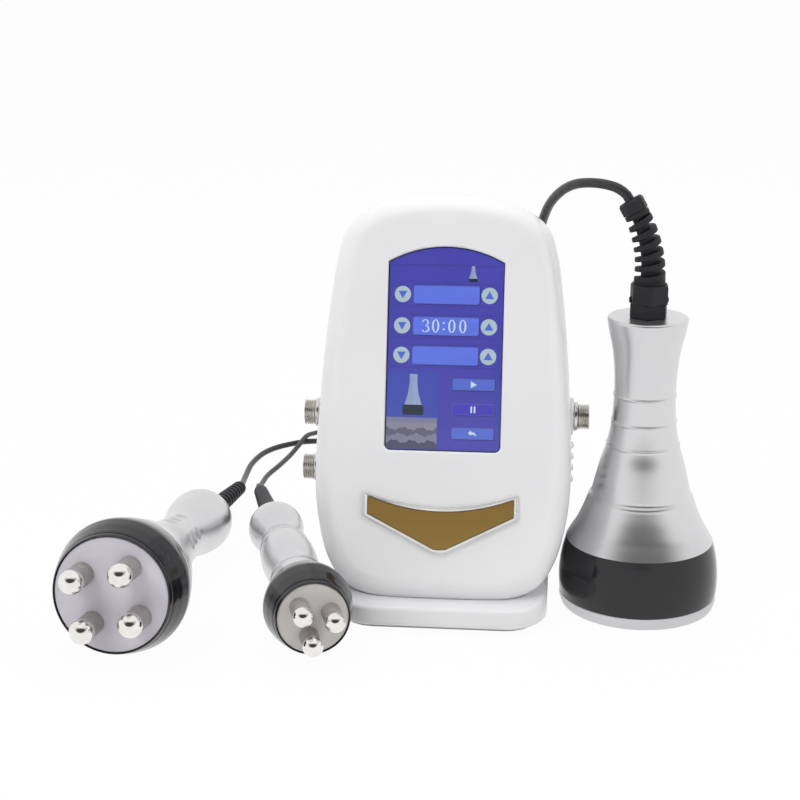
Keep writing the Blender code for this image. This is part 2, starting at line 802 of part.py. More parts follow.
bottom_plate = add_part("bottom_plate", level_plate(
    plate_outline, plate_underside_z, base_floor_z - gap), grey_plastic)
land_inset = plate_inset + plate_land_inset
bottom_land = add_cutter("bottom_land", box_mesh(
    (-base_half_width + land_inset, base_front_y + land_inset, plate_underside_z - plate_land),
    (base_half_width - land_inset, base_back_y - land_inset, plate_underside_z + plate_land)))
combine(bottom_plate, bottom_land, 'UNION')
foot_x = base_half_width - foot_inset - foot_radius
front_foot_y = base_front_y + foot_inset + foot_radius
back_foot_y = base_back_y - foot_inset - foot_radius
foot_places = ((-foot_x, front_foot_y), (foot_x, front_foot_y),
               (foot_x, back_foot_y), (-foot_x, back_foot_y))
for number, (x, y) in enumerate(foot_places, 1):
    add_part("foot_%d" % number, rod_mesh(
        foot_radius * foot_tip_share, 0, plate_underside_z - gap, small_sides, top_radius=foot_radius),
        dark_rubber, None, (x, y, 0))

# Sockets and their contact inserts
for number, (side, height) in enumerate(zip(socket_sides, socket_heights), 1):
    mouth = add_frame("socket_frame_%d" % number, (side * (pad_reach + gap), socket_depth, height),
                      (0, side * pi / 2, 0), console)
    shell_profile = (
        (socket_thread_radius, socket_reach), (socket_thread_radius, socket_flange),
        (socket_flange_radius, socket_flange), (socket_flange_radius, 0), (socket_body_radius, 0),
        (socket_body_radius, -socket_body_depth), (socket_bore_radius, -socket_body_depth),
        (socket_bore_radius, socket_reach))
    socket = add_part("socket_%d" % number, profile_mesh(shell_profile, closed=True), polished_steel, mouth)
    turned(socket, small_sides)
    insert = add_part("socket_insert_%d" % number, rod_mesh(
        socket_bore_radius - gap, -socket_body_depth, socket_reach - socket_insert_depth, small_sides),
        dark_rubber, mouth)
    for k in range(socket_pin_count):
        angle = 2 * pi * k / socket_pin_count
        pin = add_cutter("socket_pin", rod_mesh(
            socket_pin_radius, -socket_insert_depth,
            socket_reach - socket_insert_depth + socket_pin_length, 5),
            mouth, (socket_pin_circle * cos(angle), socket_pin_circle * sin(angle), 0))
        combine(insert, pin, 'UNION')

# Mains inlet with its blades, fuse drawer and rocker
inlet = add_frame("inlet_frame", (0, console_depth, inlet_height), (0, 0, 0), console)
inlet_outline = rounded_rectangle(inlet_half_width, -inlet_half_height, inlet_half_height, inlet_corner, 3)
inlet_part = add_part("mains_inlet", flat_mesh(inlet_outline, inlet_flange), black_plastic, inlet,
                      (0, gap + inlet_flange / 2, 0))
inlet_body = add_cutter("inlet_body", box_mesh(
    (-inlet_half_width + inlet_body_inset, -inlet_body_depth, -inlet_half_height + inlet_body_inset),
    (inlet_half_width - inlet_body_inset, inlet_flange, inlet_half_height - inlet_body_inset)), inlet)
combine(inlet_part, inlet_body, 'UNION')
port = add_cutter("inlet_port", box_mesh(
    (-inlet_port_half_width, -inlet_port_depth, -inlet_port_half_height),
    (inlet_port_half_width, overrun, inlet_port_half_height)), inlet,
                  (inlet_port_x, inlet_flange, inlet_port_z))
combine(inlet_part, port)
for k in (-1, 0, 1):
    blade = add_cutter("inlet_blade", box_mesh(
        (inlet_port_x + k * inlet_pin_spacing - inlet_pin_half_height, -inlet_port_depth,
         inlet_port_z - inlet_pin_half_width - abs(k) * inlet_pin_half_width),
        (inlet_port_x + k * inlet_pin_spacing + inlet_pin_half_height, inlet_flange - inlet_pin_recess,
         inlet_port_z + inlet_pin_half_width - abs(k) * inlet_pin_half_width)), inlet)
    combine(inlet_part, blade, 'UNION')
drawer_hole = add_cutter("drawer_hole", box_mesh(
    (-drawer_half_width - gap, -drawer_depth - gap, -drawer_half_height - gap),
    (drawer_half_width + gap, overrun, drawer_half_height + gap)), inlet,
                         (inlet_port_x, inlet_flange, drawer_z))
combine(inlet_part, drawer_hole)
add_part("fuse_drawer", box_mesh(
    (-drawer_half_width, -drawer_depth, -drawer_half_height),
    (drawer_half_width, drawer_lip, drawer_half_height), gap, 1),
    black_plastic, inlet, (inlet_port_x, inlet_flange, drawer_z))
rocker_hole = add_cutter("rocker_hole", box_mesh(
    (rocker_x - rocker_half_width - gap, -inlet_body_depth + wall, -rocker_radius - gap),
    (rocker_x + rocker_half_width + gap, inlet_flange + overrun, rocker_radius + gap)), inlet)
combine(inlet_part, rocker_hole)
rocker_y = inlet_flange - rocker_rise
stub_hole = add_cutter("rocker_stub_hole", hole_mesh(
    rocker_stub_radius + gap, -rocker_half_width - rocker_stub_length - 2 * gap,
    rocker_half_width + rocker_stub_length + 2 * gap), inlet, (rocker_x, rocker_y, 0), (0, pi / 2, 0))
combine(inlet_part, stub_hole)
rocker_spread = asin(rocker_rise / rocker_radius)
rocker_outline = [(rocker_radius * sin(a), rocker_radius * cos(a)) for a in
                  (rocker_spread, rocker_spread / 2, 0, -rocker_spread / 2, -rocker_spread)]
rocker_outline += [(-rocker_rise, -rocker_radius * cos(rocker_spread))]
rocker_outline += [(rocker_radius * sin(a), -rocker_radius * cos(a)) for a in
                   (-rocker_spread / 2, 0, rocker_spread / 2, rocker_spread)]
rocker_outline += [(rocker_rise - rocker_hollow, 0)]
rocker_mesh = flat_mesh([(z, -y) for y, z in rocker_outline], 2 * rocker_half_width)
rocker_mesh.transform(Matrix(((0, 1, 0, 0), (0, 0, -1, 0), (1, 0, 0, 0), (0, 0, 0, 1))))
rocker = add_part("power_rocker", rocker_mesh, black_plastic, inlet,
                  (rocker_x, rocker_y, 0), (rocker_tilt, 0, 0))
stub_reach = rocker_half_width + rocker_stub_length
rocker_stub = add_cutter("rocker_stub", rod_mesh(
    rocker_stub_radius, -stub_reach, stub_reach, small_sides), inlet,
                         (rocker_x, rocker_y, 0), (0, pi / 2, 0))
combine(rocker, rocker_stub, 'UNION')

# Fan: frame, rotor and guard
fan = add_frame("fan_frame_axis", (0, console_depth - wall - gap, fan_height), (pi / 2, 0, 0), console)
fan_frame = add_part("fan_frame", box_mesh((-fan_half, -fan_half, 0), (fan_half, fan_half, fan_thickness)),
                     black_plastic, fan)
frame_bore = add_cutter("fan_bore", hole_mesh(fan_bore, -overrun, fan_thickness + overrun, fine_sides), fan)
combine(fan_frame, frame_bore)
strut_low = fan_thickness - fan_strut_thickness
for turn in (0, pi / 2):
    strut = add_cutter("fan_strut", box_mesh(
        (-fan_half + wall / 2, -fan_strut_half_width, strut_low),
        (fan_half - wall / 2, fan_strut_half_width, fan_thickness)), fan, (0, 0, 0), (0, 0, turn))
    combine(fan_frame, strut, 'UNION')
combine(fan_frame, add_cutter("fan_motor", rod_mesh(fan_hub_radius, strut_low, fan_thickness), fan), 'UNION')
rotor_top = strut_low - gap
rotor = add_part("fan_rotor", rod_mesh(
    fan_hub_radius, rotor_top - fan_hub_length, rotor_top), black_plastic, fan)
for k in range(fan_blade_count):
    blade_mesh = box_mesh((fan_hub_radius - wall, -fan_blade_thickness / 2, -fan_hub_length / 2),
                          (fan_blade_radius, fan_blade_thickness / 2, fan_hub_length / 2))
    blade_mesh.transform(Matrix.Rotation(fan_blade_turn, 4, 'X'))
    blade = add_cutter("fan_blade", blade_mesh, fan, (0, 0, rotor_top - fan_hub_length / 2),
                       (0, 0, 2 * pi * k / fan_blade_count))
    combine(rotor, blade, 'UNION')
guard_profile = ((guard_radius, guard_thickness), (guard_radius, 0),
                 (guard_radius - 2 * guard_bar, 0), (guard_radius - 2 * guard_bar, guard_thickness))
guard_place = (0, console_depth + gap, fan_height)
fan_guard = add_part("fan_guard", profile_mesh(guard_profile, closed=True), dark_rubber, console,
                     guard_place, (-pi / 2, 0, 0))
turned(fan_guard, fine_sides)
for share in guard_ring_shares:
    middle = guard_radius * share
    ring_profile = ((middle + guard_bar, guard_thickness), (middle + guard_bar, 0),
                    (middle - guard_bar, 0), (middle - guard_bar, guard_thickness))
    guard_ring = add_cutter("guard_ring", profile_mesh(ring_profile, closed=True), console,
                            guard_place, (-pi / 2, 0, 0))
    turned(guard_ring, small_sides)
    combine(fan_guard, guard_ring, 'UNION')
for turn in (pi / 4, -pi / 4):
    spoke_mesh = box_mesh((-guard_radius + guard_bar, -guard_bar, guard_thickness / 4),
                          (guard_radius - guard_bar, guard_bar, guard_thickness * 3 / 4))
    spoke_mesh.transform(Matrix.Rotation(turn, 4, 'Z'))
    spoke = add_cutter("guard_spoke", spoke_mesh, console, guard_place, (-pi / 2, 0, 0))
    combine(fan_guard, spoke, 'UNION')

# Control board on four posts behind the display, and the supply on the rear wall
board = add_part("control_board", box_mesh((-board_half_width, board_depth, board_bottom),
                                           (board_half_width, board_depth + board_thickness, board_top)),
                 board_green, console)
for x in (-board_half_width + post_inset, board_half_width - post_inset):
    for z in (board_bottom + post_inset, board_top - post_inset):
        post = add_cutter("board_post", rod_mesh(
            post_radius, wall + gap, board_depth + board_thickness / 2, small_sides),
                          console, (x, 0, z), (-pi / 2, 0, 0))
        combine(board, post, 'UNION')
for x_share, z_share, half_width_share, half_height_share in chip_shares:
    chip_x = board_half_width * x_share
    chip_z = board_bottom + (board_top - board_bottom) * z_share
    chip = add_cutter("board_chip", box_mesh(
        (chip_x - board_half_width * half_width_share, board_depth + board_thickness / 2,
         chip_z - board_half_width * half_height_share),
        (chip_x + board_half_width * half_width_share, board_depth + board_thickness + chip_rise,
         chip_z + board_half_width * half_height_share)), console)
    combine(board, chip, 'UNION')
add_part("power_supply", box_mesh(
    (-supply_half_width, console_depth - wall - gap - supply_thickness, supply_bottom),
    (supply_half_width, console_depth - wall - gap, supply_top), wall / 2, 1), satin_silver, console)

# Cavitation handpiece
cavitation = add_frame("cavitation_frame", (cavitation_x, cavitation_y, 0))
head_profile = ((0, head_stack_top), (head_stack_radius, head_stack_top), (head_stack_radius, head_rim_z),
                (head_rim_radius, head_rim_z), (head_rim_radius, head_rim_z / 2), (head_face_radius, 0),
                (0, 0))
transducer = add_part("cavitation_transducer", profile_mesh(head_profile), polished_steel, cavitation)
turned(transducer, large_sides)
band_height = band_top_z - head_rim_z
band_profile = [(band_top_radius, band_top_z)]
band_profile += [(band_top_radius + (band_radius - band_top_radius) * out_share,
                  head_rim_z + gap + (band_height - gap) * height_share)
                 for height_share, out_share in band_side_shares]
band_profile += [(head_rim_radius, head_rim_z + gap), (band_inner_radius, head_rim_z + gap),
                 (band_inner_radius, band_top_z)]
band = add_part("cavitation_band", profile_mesh(band_profile, closed=True), black_plastic, cavitation)
turned(band, large_sides)
shell_foot_z = band_top_z + gap
shell_height = cavitation_top_z - shell_foot_z
shell_outer = []
for height_share, radius_share in zip(shell_height_shares, shell_radius_shares):
    shell_outer.append((band_top_radius * radius_share, shell_foot_z + shell_height * height_share))
shell_inner = [(radius - wall, height) for radius, height in shell_outer[:-1:4]]
shell_inner[0] = (shell_outer[0][0] - wall, shell_foot_z)
shell_profile = shell_outer[::-1] + shell_inner + [(shell_bore, cavitation_top_z - wall),
                                                   (shell_bore, cavitation_top_z)]
shell = add_part("cavitation_shell", profile_mesh(shell_profile, closed=True), satin_silver, cavitation)
turned(shell, fine_sides)

# Gland: a six-sided foot, a lip, a six-sided nut and a collar, on a spigot through the body's top
gland_z = cavitation_top_z + gap
hex_sides = 6
gland = add_part("cavitation_gland", rod_mesh(gland_foot_radius, gland_z, gland_z + gland_foot, hex_sides),
                 dark_rubber, cavitation)
gland_top = gland_z + gland_foot
gland_tiers = ((gland_lip_radius, gland_lip, round_sides), (gland_nut_radius, gland_nut, hex_sides),
               (gland_collar_radius, gland_collar, small_sides))
for radius, height, sides in gland_tiers:
    tier = add_cutter("gland_tier", rod_mesh(radius, gland_top - gap, gland_top + height, sides, gland_turn),
                      cavitation)
    combine(gland, tier, 'UNION')
    gland_top += height
spigot = add_cutter("gland_spigot", rod_mesh(
    shell_bore - gap, cavitation_top_z - 2 * wall, gland_z + gap, small_sides), cavitation)
combine(gland, spigot, 'UNION')

# Spiral bend guard: a sleeve with a cap, and one wire wound round it from the gland to the cap
lean_in = Vector((guard_lean_x, guard_lean_y, 0))


def guard_point(share):
    """A point on the bend guard's own leaning middle line, from 0 at the gland to 1 at the cap's end."""
    return Vector((0, 0, gland_top + gap + guard_length * share)) + lean_in * share ** 2


def guard_direction(share):
    """The way that the middle line runs at a point."""
    return (Vector((0, 0, guard_length)) + lean_in * 2 * share).normalized()


cap_share = 1 - sleeve_cap / guard_length
sleeve_shares = (0, sleeve_foot_share, sleeve_lower_share, sleeve_middle_share, cap_share - cap_step_share,
                 cap_share, cap_edge_share, 1)
sleeve_radii = (sleeve_foot_radius, sleeve_foot_radius, (sleeve_foot_radius + sleeve_top_radius) / 2,
                sleeve_top_radius, sleeve_top_radius, sleeve_cap_radius, sleeve_cap_radius,
                sleeve_cap_radius - wall / 2)
add_part("bend_guard_sleeve", tube_mesh(
    [guard_point(share) for share in sleeve_shares], sleeve_foot_radius, 4,
    [radius / sleeve_foot_radius for radius in sleeve_radii]), dark_rubber, cavitation)
spiral_path = []
spiral_low = (spiral_wire_radius + gap) / guard_length
spiral_high = cap_share - cap_step_share - spiral_low
spiral_count = spiral_turns * spiral_points
for k in range(spiral_count + 1):
    share = spiral_low + (spiral_high - spiral_low) * k / spiral_count
    angle = 2 * pi * k / spiral_points
    forward = guard_direction(share)
    across = Vector((0, 1, 0)).cross(forward).normalized()
    upward = forward.cross(across)
    radius = spiral_foot_radius + (spiral_top_radius - spiral_foot_radius) * k / spiral_count
    spiral_path.append(guard_point(share) + (across * cos(angle) + upward * sin(angle)) * radius)
for end, inner in ((0, 1), (-1, -2)):
    straight = (spiral_path[end] - spiral_path[inner]).normalized() * 2 * spiral_wire_radius
    spiral_path.insert(0 if end == 0 else len(spiral_path), spiral_path[end] + straight)
add_part("bend_guard_spiral", tube_mesh(spiral_path, spiral_wire_radius, 1), dark_rubber, cavitation)
print("bend guard spiral: least gap to itself %.2f mm" % (
    1000 * least_gap(spiral_path, spiral_wire_radius, pi * spiral_top_radius)))


# Lying handpieces with ball electrodes
def lying_handpiece(name, place, yaw, ring_radius, ring_front, ring_back, face_radius, pins, length,
                    bulge_radius, bulge_share, neck_share, grip_shares, boot_length, boot_radius, ribbed,
                    cord_radius):
    """Head ring, face, electrodes, grip and bend guard about one axis, its face towards local +Z."""
    pin_circle, pin_turn, pin_count, ball_radius, pin_radius, pin_length = pins
    rise = asin((ring_radius - bulge_radius) / (length * bulge_share))
    axis = Vector((sin(yaw) * cos(rise), -cos(yaw) * cos(rise), sin(rise)))
    across = Vector((cos(yaw), sin(yaw), 0))
    turn = Matrix((across, axis.cross(across), axis)).transposed()
    frame = add_frame(name + "_frame", (*place, ring_radius * cos(rise)), turn.to_euler())
    face_front = ring_front - face_recess
    face_back = face_front - face_thickness
    inner = face_radius - spigot_inset
    grip_radius = ring_radius * neck_share
    ring_profile = [(ring_radius + (face_radius - ring_radius) * inward, ring_front * forward)
                    for inward, forward in ring_front_shares]
    ring_profile += [(ring_radius + (face_radius - ring_radius) * inward, -ring_back * backward)
                     for inward, backward in ring_back_shares]
    ring_profile += [(grip_radius, -ring_back), (inner + gap, -ring_back), (inner + gap, face_back - gap),
                     (face_radius + gap, face_back - gap), (face_radius + gap, ring_front - face_recess / 2)]
    ring = add_part(name + "_ring", profile_mesh(ring_profile, closed=True), black_plastic, frame)
    turned(ring, handpiece_sides)
    face = add_part(name + "_face", rod_mesh(
        face_radius, face_back, face_front, handpiece_sides, pi / 2), grey_plastic, frame)
    for k in range(pin_count):
        angle = pin_turn + 2 * pi * k / pin_count
        spot = (pin_circle * cos(angle), pin_circle * sin(angle), 0)
        hole = add_cutter(name + "_pin_hole", hole_mesh(
            pin_stem_radius + gap, face_front - pin_stem_length - gap, face_front + overrun, stem_sides),
            frame, spot)
        combine(face, hole)
        ball_middle = face_front + gap + pin_length
        neck = asin(pin_radius / ball_radius)
        pin_profile = [(0, ball_middle + ball_radius)]
        for step in range(1, ball_steps + 1):
            polar = (pi - neck) * step / ball_steps
            pin_profile.append((ball_radius * sin(polar), ball_middle + ball_radius * cos(polar)))
        pin_profile += [(pin_radius, face_front + gap), (pin_stem_radius, face_front + gap),
                        (pin_stem_radius, face_front - pin_stem_length), (0, face_front - pin_stem_length)]
        electrode = add_part("%s_electrode_%d" % (name, k + 1), profile_mesh(pin_profile), polished_steel,
                             frame, spot)
        turned(electrode, ball_sides)
    grip_profile = [(0, face_back - 2 * gap), (inner, face_back - 2 * gap), (inner, -ring_back - gap),
                    (grip_radius, -ring_back - gap)]
    grip_profile += [(ring_radius * share, -length * along) for along, share in grip_shares]
    grip_profile.append((0, -length))
    turned(add_part(name + "_grip", profile_mesh(grip_profile), satin_silver, frame), handpiece_sides)
    boot_top = -length - gap
    tip_radius = cord_radius + boot_tip
    boot_profile = [(0, boot_top), (boot_radius, boot_top)]
    for k in range(2 * boot_ribs if ribbed else 0):
        share = (k + 0.5) / (2 * boot_ribs)
        radius = boot_radius + (tip_radius - boot_radius) * share
        boot_profile.append((radius - boot_rib_height * (1 - k % 2), boot_top - boot_length * share))
    boot_profile += [(tip_radius, boot_top - boot_length), (0, boot_top - boot_length)]
    turned(add_part(name + "_bend_guard", profile_mesh(boot_profile), dark_rubber, frame), ball_sides)
    exit_point = Vector((*place, ring_radius * cos(rise))) - axis * (length + boot_length + 2 * gap)
    return exit_point, -axis


multipolar_exit, multipolar_way = lying_handpiece(
    "multipolar", (multipolar_x, multipolar_y), multipolar_yaw, multipolar_ring_radius,
    multipolar_ring_front, multipolar_ring_back, multipolar_face_radius,
    (multipolar_pin_circle, multipolar_pin_turn, multipolar_pin_count, multipolar_ball_radius,
     multipolar_post, multipolar_pin_length),
    multipolar_length, multipolar_bulge_radius, multipolar_bulge_share, multipolar_neck_share,
    multipolar_grip_shares,
    multipolar_boot_length, multipolar_boot_radius, True, multipolar_cord_radius)
tripolar_exit, tripolar_way = lying_handpiece(
    "tripolar", (tripolar_x, tripolar_y), tripolar_yaw, tripolar_ring_radius, tripolar_ring_front,
    tripolar_ring_back, tripolar_face_radius,
    (tripolar_pin_circle, tripolar_pin_turn, tripolar_pin_count, tripolar_ball_radius,
     tripolar_post, tripolar_pin_length),
    tripolar_length, tripolar_bulge_radius, tripolar_bulge_share, tripolar_neck_share, tripolar_grip_shares,
    tripolar_boot_length, tripolar_boot_radius, False, tripolar_cord_radius)
cavitation_exit = Vector((cavitation_x, cavitation_y, 0)) + guard_point(1) + guard_direction(1) * gap
cavitation_way = guard_direction(1)


# Cords, coils and plugs
def coil_path(middle, turns, start, way, radius):
    """One unbroken line that spirals in on the table, climbs a layer and spirals out, with straight ends."""
    step = 2 * radius + coil_step_gap
    outer = coil_diameters * radius + step * turns / 4
    plug_height = plug_ring_radius + plug_knurl
    high = radius + step
    path = []
    count = round(turns * loop_points)
    for k in range(count + 1):
        turn = turns * k / count
        angle = start + way * 2 * pi * turn
        reach_now = outer - step * min(turn, turns - turn)
        climb = min(1, max(0, (turn - turns / 2) * 2 + 0.5))
        last = min(1, max(0, (turn - turns + 0.5) * 2))
        height = radius + step * (3 - 2 * climb) * climb ** 2
        height += (plug_height - high) * (3 - 2 * last) * last ** 2
        path.append(Vector((middle[0] + reach_now * cos(angle), middle[1] + reach_now * sin(angle), height)))
    entry = Vector((-sin(start), cos(start), 0)) * way
    end_angle = start + way * 2 * pi * turns
    leave = Vector((-sin(end_angle), cos(end_angle), 0)) * way
    path.insert(0, path[0] - entry * 2 * radius)
    path.append(path[-1] + leave * coil_tail_diameters * 2 * radius)
    return path, entry, leave


def corded(name, exit_point, exit_way, route, radius, middle, turns, start, way):
    """The free stretch, the coil, and the plug with its coupling ring."""
    winding, entry, leave = coil_path(middle, turns, start, way, radius)
    diameter = 2 * radius
    cord_end = winding[0] - entry * gap
    knots = [exit_point + exit_way * radius, *(Vector(point) for point in route),
             cord_end - entry * diameter]
    path = [exit_point] + even_path(smooth_path(knots), route_step_diameters * diameter) + [cord_end]
    add_part(name + "_cord", tube_mesh(path, radius), dark_rubber)
    add_part(name + "_coil", tube_mesh(winding, radius, 1), dark_rubber)
    print("%s coil: least gap to itself %.2f mm, free stretch %.0f mm, coil %.0f mm" % (
        name, 1000 * least_gap(winding, radius, pi * radius * coil_diameters / 2),
        1000 * length_of(path), 1000 * length_of(winding)))
    across = Vector((-leave.y, leave.x, 0))
    place = winding[-1] + leave * gap
    turn = Matrix((across, leave.cross(across), leave)).transposed()
    frame = add_frame(name + "_plug_frame", place, turn.to_euler())
    body_end = plug_clamp_length + plug_body_length
    neck_end = body_end + plug_neck_length
    plug_profile = (
        (0, neck_end + plug_nose_length), (plug_nose_radius, neck_end + plug_nose_length),
        (plug_nose_radius, neck_end), (plug_neck_radius, neck_end), (plug_neck_radius, body_end),
        (plug_body_radius, body_end), (plug_body_radius, plug_clamp_length + plug_clamp_radius / 2),
        (plug_clamp_radius, plug_clamp_length), (plug_clamp_radius, 0), (0, 0))
    turned(add_part(name + "_plug", profile_mesh(plug_profile), polished_steel, frame), small_sides)
    knurl = bmesh.new()
    bmesh.ops.create_cone(knurl, cap_ends=True, segments=2 * plug_knurl_count, radius1=plug_ring_radius,
                          radius2=plug_ring_radius, depth=plug_ring_length)
    for corner in knurl.verts:
        spoke_number = round(corner.co.xy.angle_signed(Vector((1, 0))) * plug_knurl_count / pi)
        if spoke_number % 2:
            corner.co.xy *= (plug_ring_radius - 2 * plug_knurl) / plug_ring_radius
    ring_mesh = bpy.data.meshes.new("coupling_ring")
    knurl.to_mesh(ring_mesh)
    knurl.free()
    ring_middle = body_end + gap + plug_ring_length / 2
    ring = add_part(name + "_plug_ring", ring_mesh, polished_steel, frame, (0, 0, ring_middle))
    bore = add_cutter(name + "_ring_bore", hole_mesh(
        plug_ring_bore, -plug_ring_length, plug_ring_length), frame, (0, 0, ring_middle))
    combine(ring, bore)
    print("%s: exit %s, plug axis at %s along %s" % (name, [round(v, 5) for v in exit_point],
                                                    [round(v, 5) for v in place + leave * ring_middle],
                                                    [round(v, 5) for v in leave]))


corded("cavitation", cavitation_exit, cavitation_way, cavitation_route, cavitation_cord_radius,
       (cavitation_coil_x, cavitation_coil_y), cavitation_coil_turns, cavitation_coil_start,
       cavitation_coil_way)
corded("multipolar", multipolar_exit, multipolar_way, multipolar_route, multipolar_cord_radius,
       (multipolar_coil_x, multipolar_coil_y), multipolar_coil_turns, multipolar_coil_start,
       multipolar_coil_way)
corded("tripolar", tripolar_exit, tripolar_way, tripolar_route, tripolar_cord_radius,
       (tripolar_coil_x, tripolar_coil_y), tripolar_coil_turns, tripolar_coil_start, tripolar_coil_way)
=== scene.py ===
"""Looks of a tabletop cavitation slimming machine with its three corded handpieces.

Metres, +Z up. The screen faces -Y, and the machine stands on a table at Z = 0.
"""
from math import asin, atan2, cos, pi, radians, sin
import bpy
import bmesh
from mathutils import Matrix, Vector


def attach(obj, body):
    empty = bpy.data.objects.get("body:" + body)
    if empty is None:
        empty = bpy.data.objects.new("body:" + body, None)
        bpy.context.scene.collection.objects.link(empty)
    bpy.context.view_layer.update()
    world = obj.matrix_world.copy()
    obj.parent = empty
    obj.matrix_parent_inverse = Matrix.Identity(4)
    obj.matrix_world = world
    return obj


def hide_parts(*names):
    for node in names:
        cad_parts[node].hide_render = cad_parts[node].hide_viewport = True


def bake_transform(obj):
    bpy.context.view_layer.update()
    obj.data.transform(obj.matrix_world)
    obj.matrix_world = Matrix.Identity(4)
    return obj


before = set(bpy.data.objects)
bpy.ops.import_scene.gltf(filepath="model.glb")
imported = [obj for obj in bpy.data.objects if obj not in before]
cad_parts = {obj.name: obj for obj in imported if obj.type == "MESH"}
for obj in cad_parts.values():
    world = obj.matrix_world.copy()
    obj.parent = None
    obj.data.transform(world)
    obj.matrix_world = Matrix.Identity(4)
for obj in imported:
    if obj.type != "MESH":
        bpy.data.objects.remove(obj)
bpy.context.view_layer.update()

# Front cover of the console
# A deep shell of glossy white moulded plastic with a curved outline. It carries the display window, a round
# pad for each of three sockets and the side louvres, and meets the rear cover at a seam round the sides.
gap = 0.0003
wall = 0.0025
lean = radians(16)
console = Matrix.Translation((0, -0.062, 0.018)) @ Matrix.Rotation(-lean, 4, 'X')
housing_half_width = 0.078
housing_height = 0.247
housing_depth = 0.074
housing_rounding = 0.014
seam_depth = 0.048
seat_floor_z = 0.008
outline_width_shares = (0, 0.30, 0.56, 0.755, 0.880, 0.962, 0.998, 0.962, 0.905, 0.846, 0.775, 0.60, 0.32, 0)
outline_height_shares = (0, 0.001, 0.010, 0.040, 0.098, 0.190, 0.310, 0.560, 0.748, 0.866, 0.922, 0.968,
                         0.992, 1)


def chosen(piece):
    """One piece alone, selected and active."""
    bpy.ops.object.select_all(action='DESELECT')
    piece.select_set(True)
    bpy.context.view_layer.objects.active = piece
    return piece


def smooth_path(points, closed=False, per_span=8):
    """Points along a centripetal Catmull-Rom curve through the given ones."""
    knots = [Vector(point) for point in points]
    if closed:
        knots = [knots[-1]] + knots + knots[:2]
    else:
        knots = [knots[0] * 2 - knots[1]] + knots + [knots[-1] * 2 - knots[-2]]
    path = []
    for k in range(len(knots) - 3):
        a, b, c, d = knots[k:k + 4]
        t1 = (b - a).length ** 0.5
        t2 = t1 + (c - b).length ** 0.5
        t3 = t2 + (d - c).length ** 0.5
        for step in range(per_span):
            t = t1 + (t2 - t1) * step / per_span
            ab = a * ((t1 - t) / t1) + b * (t / t1)
            bc = b * ((t2 - t) / (t2 - t1)) + c * ((t - t1) / (t2 - t1))
            cd = c * ((t3 - t) / (t3 - t2)) + d * ((t - t2) / (t3 - t2))
            abc = ab * ((t2 - t) / t2) + bc * (t / t2)
            bcd = bc * ((t3 - t) / (t3 - t1)) + cd * ((t - t1) / (t3 - t1))
            path.append(abc * ((t2 - t) / (t2 - t1)) + bcd * ((t - t1) / (t2 - t1)))
    if not closed:
        path.append(knots[-2])
    return path


def smooth_profile(knots, per_span=6):
    """Radius and height along a smooth line through the given ones."""
    return [(point.x, point.y) for point in smooth_path([(r, z, 0) for r, z in knots], False, per_span)]


def arc(x, y, radius, first, last, steps):
    """Points along part of a circle, from one angle to another."""
    angles = [first + (last - first) * k / steps for k in range(steps + 1)]
    return [(x + radius * cos(angle), y + radius * sin(angle)) for angle in angles]


def round_about(x, y, radius, count, first=0.0):
    """Points evenly round a whole circle."""
    return arc(x, y, radius, first, first + 2 * pi, count)[:-1]


def tidied(piece, threshold=0.000002):
    """A closed shape with its doubles merged, no loose edges, and its faces pointing outwards."""
    chosen(piece)
    whole_mesh()
    bpy.ops.mesh.remove_doubles(threshold=threshold)
    bpy.ops.mesh.delete_loose()
    bpy.ops.mesh.select_all(action='SELECT')
    bpy.ops.mesh.normals_make_consistent(inside=False)
    bpy.ops.object.mode_set(mode='OBJECT')
    return piece


def placed(piece, *places):
    """The piece's mesh carried to its place, while its object stays at the origin."""
    for place in places:
        piece.data.transform(place)
    return piece


def curve_mesh(name, curve, points, closed=False):
    """A curve through points, each with its share of the bevel's radius, made a mesh."""
    spline = curve.splines.new('POLY')
    spline.points.add(len(points) - 1)
    for place, (point, share) in zip(spline.points, points):
        place.co = (*point, 1)
        place.radius = share
    spline.use_cyclic_u = closed
    piece = bpy.data.objects.new(name, curve)
    bpy.context.collection.objects.link(piece)
    chosen(piece)
    bpy.ops.object.convert(target='MESH')
    return bpy.context.object


def moulded_plate(name, outline, thickness, rounding=0.0, inset=0.0, fineness=4):
    """A plate of free outline in X and Z, with its thickness along Y and its edges rounded."""
    curve = bpy.data.curves.new(name, 'CURVE')
    curve.dimensions = '2D'
    curve.fill_mode = 'BOTH'
    curve.extrude = thickness / 2 - rounding
    curve.bevel_depth = rounding
    curve.bevel_resolution = fineness
    curve.offset = -rounding - inset
    piece = curve_mesh(name, curve, [((x, z, 0), 1) for x, z in outline], True)
    return tidied(placed(piece, Matrix.Rotation(pi / 2, 4, 'X')))


def block(name, low, high, rounding=0.0, segments=3):
    """A block between two corners, with its edges rounded in edit mode."""
    bpy.ops.object.select_all(action='DESELECT')
    bpy.ops.mesh.primitive_cube_add(size=1)
    piece = bpy.context.object
    piece.name = name
    for corner in piece.data.vertices:
        corner.co = [a if share < 0 else b for a, b, share in zip(low, high, corner.co)]
    if rounding:
        whole_mesh()
        bpy.ops.mesh.bevel(offset=rounding, segments=segments, affect='EDGES')
        bpy.ops.object.mode_set(mode='OBJECT')
    return piece


def ring_of(name, points, fill='NOTHING'):
    """A closed line through points: a circle whose corners are moved there."""
    bpy.ops.object.select_all(action='DESELECT')
    bpy.ops.mesh.primitive_circle_add(vertices=len(points), radius=1, fill_type=fill)
    piece = bpy.context.object
    piece.name = name
    for corner, place in zip(piece.data.vertices, points):
        corner.co = place
    return piece


